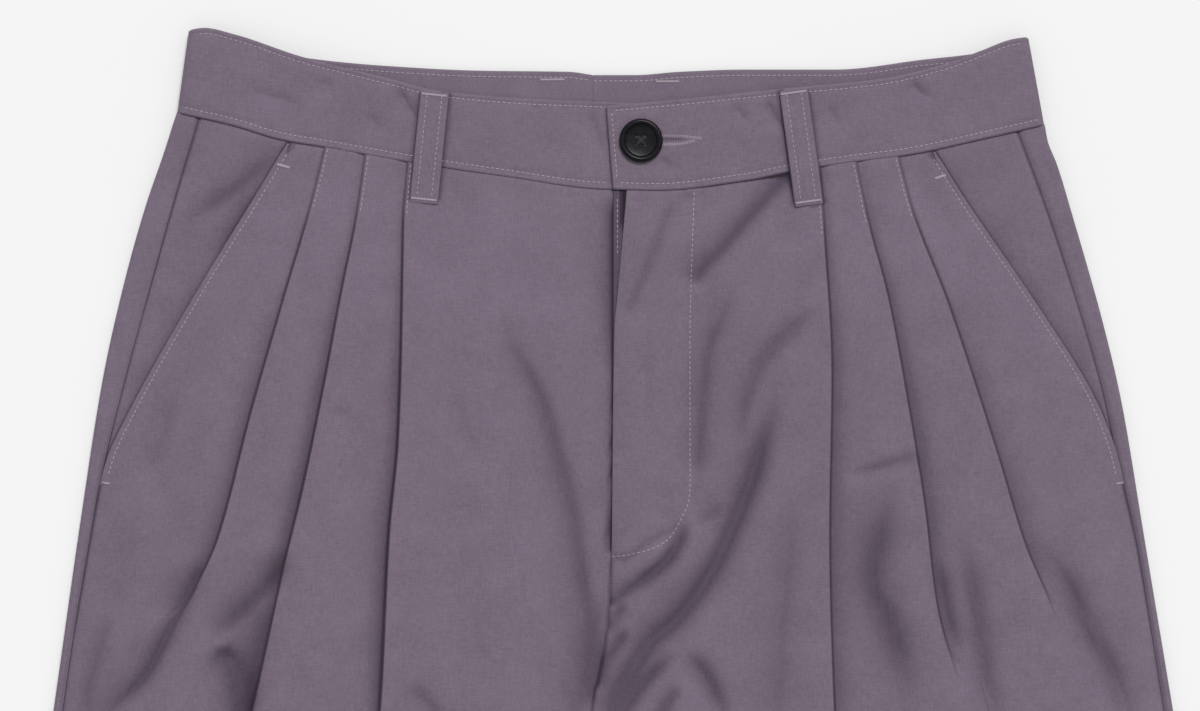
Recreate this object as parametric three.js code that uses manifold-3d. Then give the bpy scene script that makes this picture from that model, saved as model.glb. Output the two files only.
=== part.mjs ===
// Pleated dress trousers, laid flat on a surface with the front up, at full size in millimetres.
//
// +Z is up, +Y runs towards the waist and +X towards the wearer's left. In plan, "out" is the distance
// from the centre front towards one side, and "down" is the distance below the waistband's top edge at the
// centre front. Every panel is a sheet of cloth: a grid of points along the middle of the cloth, made
// solid on both sides.
import * as THREE from "three";
import { mergeVertices } from "three/addons/utils/BufferGeometryUtils.js";
import Module from "manifold-3d";

const { clamp, degToRad, lerp, smoothstep } = THREE.MathUtils;

// Driving dimensions.
const CLOTH = 1.0; // thickness of the suiting
const BAND = 1.8; // thickness of the folded and interfaced waistband
const GAP = 0.3; // clearance between two pieces or two layers
const SEAM_GAP = 0.5; // clearance at the waist and side seams, whose edges are curved
const PITCH = CLOTH + GAP; // from the middle of one layer of cloth to the next
const WAIST = 38.5; // down to the waist seam at the centre front
const FLY_END = 204; // down to the foot of the fly
const POCKET_END = 171; // down to the foot of the slanted pockets
const CROTCH = 298;
const HEM = 1040;
const CENTRE_BACK = 9; // the centre back seam lies this far to the wearer's right of the centre front

// Height of the middle of the cloth in a layer counted up from the back panels, which are layer 0.
const level = (layer) => CLOTH / 2 + layer * PITCH;
const SIDE_LAYER = 2.3; // the strip of back panel that shows on the front, beside the side seam
const FRONT_LAYER = 2.4; // the front of the legs, away from pleats
const BAND_BACK_HEIGHT = BAND / 2;
const BAND_SIDE_HEIGHT = 5.1;

// Pleats.
const PLEAT_DEPTH = 14;
const pleatDepth = through([120, PLEAT_DEPTH], [200, 8], [260, 0], [330, -9], [450, -6], [HEM, -6]);
const pleatRise = through([20, 4.6], [150, 3.8], [260, 3.2], [340, 1.8], [480, 0.9], [HEM, 0.9]);
const BAND_PLEAT_HEIGHT = 5.9; // the waistband above the ends of the pleats
const pleatFloor = layers([260, 1], [340, 1.4], [480, 1.9], [HEM, 1.9]);
const PLEAT_TURN = 1 / 2.4; // part of a low pleat's rise that is taken by each of its two turns

// Rows of points down a leg: even steps to the crotch, then longer ones to the hem.
const RISE_ROWS = 16;
const LEG_STEPS = [14, 50, 120, 230, 380, 560];

// Parts of the way across a panel at which it has a column of points: from the centre to the first pleat,
// from the last pleat to the edge, and across the back.
const INNER_PARTS = [0.3, 0.5, 0.75];
const OUTER_PARTS = [0.4, 0.72];
const BACK_PARTS = [0.2, 0.4, 0.6, 0.8];

const FACING_TUCK = 7; // width of the pocket facing under the front
const FACING_STOP = 3; // the facing ends this far above the foot of the pocket
const FACING_ROWS = 9;

// Waistband and fly.
const BAND_FRONT_STEPS = 13;
const BAND_BACK_STEPS = 10;
const FLY_STEPS = 8;
const ZIP_TOP = 42;
const ZIP_END = 188;
const UNDERLAP_END = 198;
const UNDERLAP_SIDES = [-10, 38]; // X of its two edges
const FLY_FACING_SIDES = [0.5, 4.2];
const ZIP_TAPE_SIDES = [4.5, 26];

// Belt loops.
const LOOP_WIDTH = 12;
const LOOP_LENGTH = 51;
const LOOP_BOW = 1.2; // how far the middle of a front loop stands off the band
const LOOP_STEPS = 6;
const LOOP_CLEARANCE = 0.1; // more room over the first pleat, which is a little higher than the band
const FRONT_LOOPS = {
  left: { top: { x: 81, down: -5.5 }, foot: { x: 88, down: 46 } },
  right: { top: { x: -80, down: -4.5 }, foot: { x: -85, down: 45 } },
};
const BACK_LOOP_OUT = 26;
const SIDE_LOOP_OUT = 160;
const LOOP_DROP = 1; // a back or side loop starts this far below the top of the band

// Button.
const BUTTON_RADIUS = 9.8;
const BUTTON_PLACE = { x: 12.6, down: 17 };
const BUTTON_SIDES = 28;
const BUTTON_HOLE_RADIUS = 0.9;
const BUTTON_HOLE_OUT = 1.9;
const BUTTON_HOLE_SIDES = 10;
const DRILL_LENGTH = 8;
// Half section of the button, radius against height: a flat face inside a round raised rim.
const BUTTON_SECTION = [
  [0, 0], [7.2, 0], [9.2, 0.7], [BUTTON_RADIUS, 1.6], [9.4, 2.4], [8.6, 2.7], [7.8, 2.5], [7, 1.8],
  [0, 1.6],
];

// The waist rests on the belt loops at the back, so everything above them is raised by one layer, and
// comes down again below their ends.
const LOOPS_END = 50;
const LIFT_END = 85;
const lift = (down) => PITCH * (1 - smoothstep(down, LOOPS_END, LIFT_END));

// Smooth function through [input, output] pairs, held level past its ends. It never passes beyond the
// values on either side, because each slope is the harmonic mean of the slopes around it.
function through(...pairs) {
  const slopes = pairs.slice(1).map(([t, v], i) => (v - pairs[i][1]) / (t - pairs[i][0]));
  const mean = (a, b) => (a * b > 0 ? (2 * a * b) / (a + b) : 0);
  const last = slopes.length - 1;
  const tangents = pairs.map((_, i) => mean(slopes[Math.max(i - 1, 0)], slopes[Math.min(i, last)]));
  return (input) => {
    const t = clamp(input, pairs[0][0], pairs.at(-1)[0]);
    const i = Math.max(pairs.findIndex(([end]) => t <= end) - 1, 0);
    const [[start, from], [end, to]] = [pairs[i], pairs[i + 1]];
    const step = end - start;
    const u = (t - start) / step;
    const ease = u * u * (3 - 2 * u);
    const bulge = u * (1 - u) * step * ((1 - u) * tangents[i] - u * tangents[i + 1]);
    return lerp(from, to, ease) + bulge;
  };
}

// Height of the cloth through [down, layer] pairs.
function layers(...pairs) {
  const layer = through(...pairs);
  return (down) => level(layer(down));
}

// One function above a limit and another below it.
function joined(limit, above, below) {
  return (down) => (down < limit ? above(down) : below(down));
}

const centreSeam = through([FLY_END, 0.5], [237, 2.5], [252, 5], [266, 8], [CROTCH, 14]);
const centreBack = through([20, CENTRE_BACK], [FLY_END, CENTRE_BACK], [CROTCH, 14]);

// Ends of lines that are alike on both legs, below the crotch.
const OUTER_LEG = [[400, 271], [600, 291], [HEM, 300]];
const OUTER_SEAM = [[400, 266], [600, 286], [HEM, 296]];
const MIDDLE_FOLD = [[350, 178], [600, 216], [HEM, 238]];
const OUTER_FOLD = [[350, 231], [600, 256], [HEM, 270]];
const rightInseam = through([CROTCH, 14.2], [340, 17], [420, 26], [560, 44], [HEM, 92]);
const leftInseam = through([CROTCH, -13.8], [340, -6], [420, 6], [560, 30], [HEM, 92]);

const right = {
  name: "right",
  sign: -1,
  // Waistband, out against down.
  bandStart: { top: -38, bottom: -38 },
  bandFold: { top: 191, bottom: 196 },
  bandTop: through(
    [-38, 2], [4, 0], [40, -1.5], [80, -5], [100, -10], [140, -20], [170, -30], [184, -33],
    [191, -32],
  ),
  frontSeam: through(
    [-38, 38], [0, WAIST], [50, 32.5], [90, 26.5], [130, 19.5], [150, 16], [170, 10], [196, 4],
  ),
  backTop: through([9, -12], [20, -13.5], [60, -14], [100, -16], [140, -20], [165, -27], [191, -32]),
  backSeam: through([9, 26], [80, 23], [120, 19], [140, 16], [165, 9.5], [196, 4]),
  bandHeight: through(
    [-38, level(2)],
    [30, level(2)],
    [88, BAND_PLEAT_HEIGHT],
    [135, BAND_PLEAT_HEIGHT],
    [185, BAND_SIDE_HEIGHT],
  ),
  // Down against out: outlines, seams and the folded edges of the pleats.
  outline: through(
    [4, 196], [22, 202], [45, 210], [84, 221], [125, 230], [189, 240], [273, 252], ...OUTER_LEG,
  ),
  sideSeam: through(
    [5, 186], [38, 196], [81, 208], [125, 220], [166, 230], [239, 243], [273, 248], ...OUTER_SEAM,
  ),
  pocketEdge: through([16, 145], [46, 163], [92, 191], [140, 218], [159, 227], [POCKET_END, 230.5]),
  frontCentre: joined(
    FLY_END,
    through([WAIST, -10], [180, -10], [197, 0.6]),
    joined(CROTCH, (down) => centreSeam(down) + GAP / 2, rightInseam),
  ),
  backCentre: joined(CROTCH, (down) => centreBack(down) + GAP / 2, rightInseam),
  pleats: [
    through(
      [26, 92], [54, 94], [100, 94.5], [150, 96], [193, 100], [271, 104], [350, 114], [600, 160],
      [HEM, 196],
    ),
    through(
      [22, 111], [51, 115], [82, 121], [125, 129], [174, 139], [203, 146], [258, 158],
      ...MIDDLE_FOLD,
    ),
    through([19, 129], [48, 136], [90, 148], [139, 162], [196, 177], [212, 184], [243, 200], ...OUTER_FOLD),
  ],
  // Heights of the cloth from the centre to the first pleat, and from the last pleat to the side.
  centreHeight: layers([WAIST, 2], [195, 2], [230, FRONT_LAYER], [HEM, FRONT_LAYER]),
  innerHeights: [
    layers([WAIST, 2.1], [90, 2.2], [150, 2.3], [195, 2.1], [240, 2.7], [CROTCH, 2.5], [HEM, FRONT_LAYER]),
    layers([WAIST, 2.4], [95, 3], [140, 2.3], [185, 3], [CROTCH, 2.7], [HEM, 2.6]),
    layers([WAIST, 3.4], [200, 3.2], [CROTCH, 2.9], [HEM, 2.7]),
  ],
  outerHeights: [
    layers([16, 2.2], [60, 2.5], [150, 2.9], [215, 2.5], [CROTCH, 2.7], [HEM, FRONT_LAYER]),
    layers([16, 3], [100, 3.4], [170, 2.8], [230, 3.1], [CROTCH, 2.6], [HEM, FRONT_LAYER]),
  ],
};

const left = {
  name: "left",
  sign: 1,
  bandStart: { top: -2.5, bottom: 0.5 },
  bandFold: { top: 187, bottom: 194 },
  bandTop: through(
    [-3, 2], [20, 0], [80, -6], [120, -10], [150, -17], [165, -22.5], [180, -28], [187, -29],
  ),
  frontSeam: through(
    [0, WAIST], [20, 39], [60, 34.5], [80, 30.5], [110, 26], [130, 23.5], [170, 15], [194, 9.5],
  ),
  backTop: through(
    [-9, -12], [10, -12], [30, -13.5], [60, -14.5], [100, -14.5], [140, -19], [165, -22],
    [187, -29],
  ),
  backSeam: through([-9, 26], [60, 24], [100, 22], [130, 19], [170, 12.5], [194, 9.5]),
  bandHeight: through(
    [-3, level(4)],
    [60, level(4)],
    [93, BAND_PLEAT_HEIGHT],
    [135, BAND_PLEAT_HEIGHT],
    [180, BAND_SIDE_HEIGHT],
  ),
  outline: through(
    [9, 194], [17, 195.5], [28, 200], [51, 207], [96, 220], [134, 229], [181, 237], ...OUTER_LEG,
  ),
  sideSeam: through(
    [12, 182], [38, 192], [86, 208], [131, 221], [164, 228], [198, 236], [218, 239.5],
    ...OUTER_SEAM,
  ),
  pocketEdge: through(
    [21, 144], [45, 159], [89, 189], [132, 217], [145, 225], [157, 227], [POCKET_END, 229.5],
  ),
  frontCentre: joined(
    FLY_END,
    through([WAIST, 6.5], [54, 5.2], [84, 2.5], [104, 0.8], [FLY_END, -0.3]),
    joined(CROTCH, (down) => GAP / 2 - centreSeam(down), leftInseam),
  ),
  backCentre: joined(CROTCH, (down) => GAP / 2 - centreBack(down), leftInseam),
  pleats: [
    through([28, 93], [61, 95], [122, 98], [193, 97], [271, 99], [350, 108], [600, 156], [HEM, 196]),
    through(
      [26, 109], [55, 115], [86, 123], [134, 132], [180, 139.5], [225, 145], [262, 155],
      ...MIDDLE_FOLD,
    ),
    through(
      [24, 128], [49, 134.5], [90, 150], [157, 172], [198, 184.5], [223, 195], [267, 211],
      ...OUTER_FOLD,
    ),
  ],
  centreHeight: layers([WAIST, 4], [190, 4], [207, 3.1], [230, FRONT_LAYER], [HEM, FRONT_LAYER]),
  innerHeights: [
    layers([WAIST, 4], [190, 4], [225, 3], [250, 2.4], [CROTCH, 2.8], [HEM, FRONT_LAYER]),
    layers(
      [WAIST, 2.9], [80, 2.6], [115, 3.3], [150, 2.7], [190, 3.4], [235, 2.3], [CROTCH, 2.8],
      [HEM, 2.6],
    ),
    layers([WAIST, 3], [60, 3.5], [120, 3.4], [160, 2.7], [205, 3.4], [CROTCH, 2.9], [HEM, 2.7]),
  ],
  outerHeights: [
    layers([21, 2.2], [60, 2.5], [150, 2.9], [215, 2.5], [CROTCH, 2.7], [HEM, FRONT_LAYER]),
    layers([21, 3], [100, 3.4], [170, 2.8], [230, 3.1], [CROTCH, 2.6], [HEM, FRONT_LAYER]),
  ],
};

// The edge of the front: the slanted pocket, then the side seam.
function frontEdge(side) {
  return joined(POCKET_END, side.pocketEdge, (down) => side.sideSeam(down) - SEAM_GAP / 2);
}

const edgeHeight = layers([16, 3.4], [160, 3.4], [190, SIDE_LAYER], [HEM, SIDE_LAYER]);

// A line of points down a panel, from the seam at its top: its place out and its height against the
// distance down.
function column(out, height, seam) {
  return { out, height, top: seam(out(0)) + SEAM_GAP };
}

// The edge of a panel at the inside of the leg: flat above the crotch, and a quarter turn below it, up or
// down to halfway between front and back, where the two panels meet in the inseam.
function innerEdgeColumns(centre, height, isFront, seam) {
  const turned = (down) => smoothstep(down, CROTCH, CROTCH + LEG_STEPS[0]);
  return [0, 0.5, 1].map((part) => {
    const place = (down) => {
      const low = isFront ? level(0) : height(down);
      const high = isFront ? height(down) : level(FRONT_LAYER);
      const radius = (high - low) / 2;
      const angle = lerp(Math.asin(SEAM_GAP / radius), Math.PI / 2, part);
      const rise = (low + high) / 2 + (isFront ? 1 : -1) * radius * Math.sin(angle);
      return { inset: radius * (1 - Math.cos(angle)), rise };
    };
    const out = (down) => centre(down) + place(down).inset + (turned(down) * CLOTH) / 2;
    return column(out, (down) => lerp(height(down), place(down).rise, turned(down)), seam);
  });
}

// The four corners of a pleat's section. Folded, the cloth turns under at the edge, runs back by the
// pleat's depth and turns out again. Let go, below the hip, the four corners spread into a soft step.
function pleatColumns(edge, seam) {
  const folded = (down) => Math.max(pleatDepth(down), 0);
  const spread = (down) => Math.max(-pleatDepth(down), 0);
  const step = (down) => Math.min(PITCH, pleatRise(down) * PLEAT_TURN);
  const top = (down) => pleatFloor(down) + pleatRise(down);
  return [
    column(edge, top, seam),
    column((down) => edge(down) + spread(down) / 3, (down) => top(down) - step(down), seam),
    column(
      (down) => edge(down) - folded(down) + (spread(down) * 2) / 3,
      (down) => pleatFloor(down) + step(down),
      seam,
    ),
    column((down) => edge(down) - folded(down) + spread(down), pleatFloor, seam),
  ];
}

// Columns at parts of the way from one line to another, one for each height.
function columnsBetween(from, to, parts, heights, seam) {
  return parts.map((part, i) => column((down) => lerp(from(down), to(down), part), heights[i], seam));
}

function frontColumns(side) {
  const seam = side.frontSeam;
  const edge = frontEdge(side);
  const pleats = side.pleats.flatMap((pleat) => pleatColumns(pleat, seam));
  return [
    ...innerEdgeColumns(side.frontCentre, side.centreHeight, true, seam),
    ...columnsBetween(side.frontCentre, side.pleats[0], INNER_PARTS, side.innerHeights, seam),
    ...pleats,
    ...columnsBetween(pleats.at(-1).out, edge, OUTER_PARTS, side.outerHeights, seam),
    column(edge, edgeHeight, seam),
  ];
}

// The back lies flat, turns up round the outline of the leg and ends in a strip beside the side seam.
function backColumns(side) {
  const flat = () => level(0);
  const radius = (level(SIDE_LAYER) - level(0)) / 2;
  const fold = (down) => side.outline(down) - CLOTH / 2 - radius;
  const turn = [-90, -45, 0, 45, 90].map((degrees) => {
    const angle = degToRad(degrees);
    const height = () => level(0) + radius * (1 + Math.sin(angle));
    const seam = degrees < 0 ? side.backSeam : side.frontSeam;
    return column((down) => fold(down) + radius * Math.cos(angle), height, seam);
  });
  return [
    ...innerEdgeColumns(side.backCentre, flat, false, side.backSeam),
    ...columnsBetween(side.backCentre, fold, BACK_PARTS, BACK_PARTS.map(() => flat), side.backSeam),
    ...turn,
    column((down) => side.sideSeam(down) + SEAM_GAP / 2, () => level(SIDE_LAYER), side.frontSeam),
  ];
}

// The facing runs from under the front's pocket edge to the side seam.
function facingColumns(side) {
  const tucked = (down) => side.pocketEdge(down) - FACING_TUCK;
  const outer = (down) => side.sideSeam(down) - GAP;
  const heights = [2, 2.1, SIDE_LAYER].map((layer) => () => level(layer));
  return columnsBetween(tucked, outer, [0, 0.5, 1], heights, side.frontSeam);
}

// Rows of points across a panel, each row at one part of the way from the top of its columns to the
// bottom.
function rowsOf(columns, parts, bottom, sign) {
  return parts.map((part) =>
    columns.map(({ out, height, top }) => {
      const down = lerp(top, bottom, part);
      return new THREE.Vector3(sign * out(down), -down, height(down) + lift(down));
    }),
  );
}

function evenParts(steps) {
  return Array.from({ length: steps + 1 }, (_, i) => i / steps);
}

function legParts() {
  const length = HEM - WAIST;
  const rise = evenParts(RISE_ROWS).map((part) => (part * (CROTCH - WAIST)) / length);
  const leg = LEG_STEPS.map((step) => (CROTCH + step - WAIST) / length);
  return [...rise, ...leg, 1];
}

// A row of points moved sideways in the X-Z plane, with mitred corners.
function offsetRow(row, distance) {
  const normals = row.slice(1).map((p, i) => new THREE.Vector2(row[i].z - p.z, p.x - row[i].x).normalize());
  return row.map((p, i) => {
    const before = normals[Math.max(i - 1, 0)];
    const after = normals[Math.min(i, normals.length - 1)];
    const mitre = distance / (1 + before.dot(after));
    return new THREE.Vector3(p.x + (before.x + after.x) * mitre, p.y, p.z + (before.y + after.y) * mitre);
  });
}

// Closed geometry with its faces pointing out.
function closedGeometry(points, index) {
  const corner = (i) => points[index[i]];
  let volume = 0;
  for (let i = 0; i < index.length; i += 3) {
    volume += corner(i).dot(new THREE.Vector3().crossVectors(corner(i + 1), corner(i + 2)));
  }
  const geometry = new THREE.BufferGeometry().setFromPoints(points);
  geometry.setIndex(volume < 0 ? index.reverse() : index);
  geometry.computeVertexNormals();
  return geometry;
}

// The sheet of cloth whose middle runs through rows of points.
function sheet(rows, thickness) {
  const upper = rows.flatMap((row) => offsetRow(row, thickness / 2));
  const lower = rows.flatMap((row) => offsetRow(row, -thickness / 2));
  const across = rows[0].length;
  const count = upper.length;
  const index = [];
  const quad = (a, b, c, d) => index.push(a, b, c, a, c, d);
  for (let r = 0; r < rows.length - 1; r++) {
    for (let c = 0; c < across - 1; c++) {
      const a = r * across + c;
      const d = a + across;
      quad(a, a + 1, d + 1, d);
      quad(count + d, count + d + 1, count + a + 1, count + a);
    }
  }
  const last = count - across;
  const border = [];
  for (let c = 0; c < across - 1; c++) border.push(c);
  for (let r = across - 1; r < count - 1; r += across) border.push(r);
  for (let c = count - 1; c > last; c--) border.push(c);
  for (let r = last; r > 0; r -= across) border.push(r);
  border.forEach((a, i) => {
    const b = border[(i + 1) % border.length];
    quad(b, a, count + a, count + b);
  });
  return closedGeometry([...upper, ...lower], index);
}

// One half of the waistband, from its end at the centre front round the side to the centre back.
function bandGeometry(side) {
  const radius = (BAND_SIDE_HEIGHT - BAND_BACK_HEIGHT) / 2;
  const fold = (edge) => side.bandFold[edge] - BAND / 2 - radius;
  const centreBackOut = -side.sign * CENTRE_BACK + GAP / 2;
  const stations = [];
  for (const part of evenParts(BAND_FRONT_STEPS)) {
    const top = lerp(side.bandStart.top, fold("top"), part);
    const bottom = lerp(side.bandStart.bottom, fold("bottom"), part);
    const downs = [side.bandTop(top), side.frontSeam(bottom)];
    stations.push({ top, bottom, downs, height: side.bandHeight(top) });
  }
  for (const degrees of [45, 0, -45]) {
    const angle = degToRad(degrees);
    const top = fold("top") + radius * Math.cos(angle);
    const bottom = fold("bottom") + radius * Math.cos(angle);
    stations.push({
      top,
      bottom,
      downs: [side.bandTop(top), side.frontSeam(bottom)],
      height: BAND_BACK_HEIGHT + radius * (1 + Math.sin(angle)),
    });
  }
  for (const part of evenParts(BAND_BACK_STEPS)) {
    const top = lerp(fold("top"), centreBackOut, part);
    const bottom = lerp(fold("bottom"), centreBackOut, part);
    const downs = [side.backTop(top), side.backSeam(bottom)];
    stations.push({ top, bottom, downs, height: BAND_BACK_HEIGHT });
  }
  const rows = evenParts(2).map((part) =>
    stations.map(({ top, bottom, downs, height }) => {
      const down = lerp(downs[0], downs[1] - GAP / 2, part);
      return new THREE.Vector3(side.sign * lerp(top, bottom, part), -down, height + lift(down));
    }),
  );
  return sheet(rows, BAND);
}

// A belt loop: a strip from its top end down to its foot, bowed up in the middle.
function loopGeometry({ top, foot }, height, bow) {
  const along = new THREE.Vector2(foot.x - top.x, top.down - foot.down).normalize();
  const rows = evenParts(LOOP_STEPS).map((part) =>
    [-1, 1].map((edge) => {
      const x = lerp(top.x, foot.x, part) + (edge * along.y * LOOP_WIDTH) / 2;
      const y = -lerp(top.down, foot.down, part) - (edge * along.x * LOOP_WIDTH) / 2;
      return new THREE.Vector3(x, y, height + bow * Math.sin(part * Math.PI));
    }),
  );
  return sheet(rows, CLOTH);
}

// A straight strip of cloth in one layer under the fly.
function stripGeometry(sides, fromDown, toDown, layer) {
  const rows = evenParts(FLY_STEPS).map((part) => {
    const down = lerp(fromDown, toDown, part);
    return sides.map((x) => new THREE.Vector3(x, -down, level(layer) + lift(down)));
  });
  return sheet(rows, CLOTH);
}

function buttonSolid(wasm) {
  const profile = BUTTON_SECTION.map(([radius, height]) => new THREE.Vector2(radius, height));
  const body = new THREE.LatheGeometry(profile, BUTTON_SIDES).rotateX(Math.PI / 2);
  let solid = solidOf(wasm, body);
  for (const [x, y] of [[1, 1], [-1, 1], [-1, -1], [1, -1]]) {
    const drill = new THREE.CylinderGeometry(
      BUTTON_HOLE_RADIUS,
      BUTTON_HOLE_RADIUS,
      DRILL_LENGTH,
      BUTTON_HOLE_SIDES,
    );
    drill.rotateX(Math.PI / 2).translate(x * BUTTON_HOLE_OUT, y * BUTTON_HOLE_OUT, 0);
    solid = solid.subtract(solidOf(wasm, drill));
  }
  return geometryOf(solid);
}

function solidOf(wasm, geometry) {
  const bare = geometry.clone();
  bare.deleteAttribute("normal");
  bare.deleteAttribute("uv");
  const merged = mergeVertices(bare, 1e-4);
  return new wasm.Manifold(
    new wasm.Mesh({
      numProp: 3,
      vertProperties: new Float32Array(merged.attributes.position.array),
      triVerts: new Uint32Array(merged.index.array),
    }),
  );
}

function geometryOf(solid) {
  const mesh = solid.getMesh();
  const geometry = new THREE.BufferGeometry();
  geometry.setAttribute("position", new THREE.BufferAttribute(new Float32Array(mesh.vertProperties), 3));
  geometry.setIndex(new THREE.BufferAttribute(new Uint32Array(mesh.triVerts), 1));
  geometry.computeVertexNormals();
  return geometry;
}

const suiting = new THREE.MeshStandardMaterial({ color: 0x786b7c, roughness: 0.85, metalness: 0 });
const zipCloth = new THREE.MeshStandardMaterial({ color: 0x151417, roughness: 0.9, metalness: 0 });
const buttonResin = new THREE.MeshStandardMaterial({ color: 0x1f1d22, roughness: 0.3, metalness: 0 });

const trousers = new THREE.Group();

function addPiece(name, geometry, material = suiting) {
  const mesh = new THREE.Mesh(geometry, material.clone());
  mesh.name = name;
  trousers.add(mesh);
  return mesh;
}

const parts = legParts();
for (const side of [left, right]) {
  addPiece("waistband_" + side.name, bandGeometry(side));
  addPiece("front_" + side.name, sheet(rowsOf(frontColumns(side), parts, HEM, side.sign), CLOTH));
  addPiece("back_" + side.name, sheet(rowsOf(backColumns(side), parts, HEM, side.sign), CLOTH));
  const facing = rowsOf(facingColumns(side), evenParts(FACING_ROWS), POCKET_END - FACING_STOP, side.sign);
  addPiece("pocket_facing_" + side.name, sheet(facing, CLOTH));
  for (const [place, out] of [["back", BACK_LOOP_OUT], ["side", SIDE_LOOP_OUT]]) {
    const top = { x: side.sign * out, down: side.backTop(out) + LOOP_DROP };
    const foot = { x: top.x, down: top.down + LOOP_LENGTH };
    addPiece("loop_" + place + "_" + side.name, loopGeometry({ top, foot }, level(0), 0));
  }
}

const frontLoopHeight = lift(0) + BAND_PLEAT_HEIGHT + BAND / 2 + GAP + CLOTH / 2 + LOOP_CLEARANCE;
addPiece("loop_front_left", loopGeometry(FRONT_LOOPS.left, frontLoopHeight, LOOP_BOW));
addPiece("loop_front_right", loopGeometry(FRONT_LOOPS.right, frontLoopHeight, LOOP_BOW));

addPiece("fly_underlap", stripGeometry(UNDERLAP_SIDES, ZIP_TOP, UNDERLAP_END, 1));
addPiece("fly_facing", stripGeometry(FLY_FACING_SIDES, ZIP_TOP, ZIP_END, 3));
addPiece("zip_tape", stripGeometry(ZIP_TAPE_SIDES, ZIP_TOP, ZIP_END, 3), zipCloth);

const wasm = await Module();
wasm.setup();
const button = addPiece("button", buttonSolid(wasm), buttonResin);
const tabTop = lift(0) + left.bandHeight(BUTTON_PLACE.x) + BAND / 2;
button.position.set(BUTTON_PLACE.x, -BUTTON_PLACE.down, tabTop + GAP);

// The origin is under the middle of the trousers, on the surface they lie on.
const box = new THREE.Box3().setFromObject(trousers);
const middle = box.getCenter(new THREE.Vector3());
trousers.position.set(-middle.x, -middle.y, -box.min.z);

const part = new THREE.Group();
part.add(trousers);

export default part;
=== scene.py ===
"""Pleated dress trousers, laid flat with the front up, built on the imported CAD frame.

The pattern is drawn in plan in millimetres, as it was cut. "Out" is the distance from the centre front
towards one side and "down" the distance below the waistband's top edge at the centre front; "x" is out
with a sign, positive towards the wearer's left. Heights are above the surface that the trousers lie on.
to_row_frame() turns all three into metres in the row frame.
"""
import math

import bpy
import numpy as np
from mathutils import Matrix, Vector
from mathutils.bvhtree import BVHTree


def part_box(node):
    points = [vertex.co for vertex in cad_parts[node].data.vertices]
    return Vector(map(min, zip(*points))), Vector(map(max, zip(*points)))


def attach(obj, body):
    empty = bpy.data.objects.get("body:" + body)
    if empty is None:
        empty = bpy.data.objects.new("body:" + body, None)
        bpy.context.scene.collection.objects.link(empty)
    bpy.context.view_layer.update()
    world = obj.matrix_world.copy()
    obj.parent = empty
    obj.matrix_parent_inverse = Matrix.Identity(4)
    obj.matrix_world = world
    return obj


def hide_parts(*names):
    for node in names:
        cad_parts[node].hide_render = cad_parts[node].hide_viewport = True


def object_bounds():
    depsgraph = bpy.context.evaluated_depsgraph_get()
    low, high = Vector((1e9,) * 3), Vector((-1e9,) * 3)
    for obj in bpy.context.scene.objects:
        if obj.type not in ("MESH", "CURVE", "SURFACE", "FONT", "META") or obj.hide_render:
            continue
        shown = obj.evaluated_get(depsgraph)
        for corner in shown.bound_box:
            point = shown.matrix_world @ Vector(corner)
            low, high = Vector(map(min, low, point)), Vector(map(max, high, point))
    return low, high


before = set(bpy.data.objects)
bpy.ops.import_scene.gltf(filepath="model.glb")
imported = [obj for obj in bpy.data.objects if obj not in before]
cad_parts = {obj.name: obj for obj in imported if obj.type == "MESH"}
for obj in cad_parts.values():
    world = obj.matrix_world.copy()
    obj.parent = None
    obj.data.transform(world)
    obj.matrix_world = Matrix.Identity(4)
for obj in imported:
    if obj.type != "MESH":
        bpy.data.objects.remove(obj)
cad_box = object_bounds()

# ------------------------------
# The cut, in millimetres.

MM = 0.001
CLOTH = 1.0
BAND = 1.8
PITCH = 1.3
WAIST = 38.5
FLY_END = 204
POCKET_END = 171
CROTCH = 298
CROTCH_TURN = 14
HEM = 1040
CENTRE_BACK = 9
SIDE_LAYER = 2.3
FRONT_LAYER = 2.4
BAND_BACK_HEIGHT = 0.9
BAND_SIDE_HEIGHT = 5.1
BAND_PLEAT_HEIGHT = 5.9
FACING_TUCK = 7
LOOP_WIDTH = 12
LOOP_LENGTH = 51

CENTRE_X = (cad_box[0].x + cad_box[1].x) / 2
WAIST_Y = cad_box[0].y + HEM * MM
LOOSE = 9  # how far the fronts of the legs stand off the backs, where nothing holds them down


def level(layer):
    """Height of the middle of the cloth in a layer counted up from the back panels."""
    return CLOTH / 2 + layer * PITCH


def smoothstep(value, start, end):
    t = np.clip((value - start) / (end - start), 0, 1)
    return t * t * (3 - 2 * t)


def lerp(start, end, part):
    return start + (end - start) * part


def lift(down):
    """The waist rests on the belt loops at the back."""
    return PITCH * (1 - smoothstep(down, 50, 85))


def harmonic_tangents(slopes):
    product = slopes[:-1] * slopes[1:]
    total = np.where(product > 0, slopes[:-1] + slopes[1:], 1)
    inner = np.where(product > 0, 2 * product / total, 0)
    return np.concatenate([slopes[:1], inner, slopes[-1:]])


def cubic(values, slopes, steps, i, u):
    """Value at part u of the way from value i to the next, with the slopes given at both."""
    ease = u * u * (3 - 2 * u)
    bulge = u * (1 - u) * steps[i] * ((1 - u) * slopes[i] - u * slopes[i + 1])
    return lerp(values[i], values[i + 1], ease) + bulge


def through(*pairs):
    """Smooth function through (input, output) pairs, level past its ends, as in the CAD model."""
    inputs, outputs = np.array(pairs, float).T
    steps = np.diff(inputs)
    tangents = harmonic_tangents(np.diff(outputs) / steps)

    def at(value):
        t = np.clip(value, inputs[0], inputs[-1])
        i = np.clip(np.searchsorted(inputs, t) - 1, 0, len(steps) - 1)
        return cubic(outputs, tangents, steps, i, (t - inputs[i]) / steps[i])

    return at


def layers(*pairs):
    """Height of the cloth through (down, layer) pairs."""
    layer = through(*pairs)
    return lambda down: level(layer(down))


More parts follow.
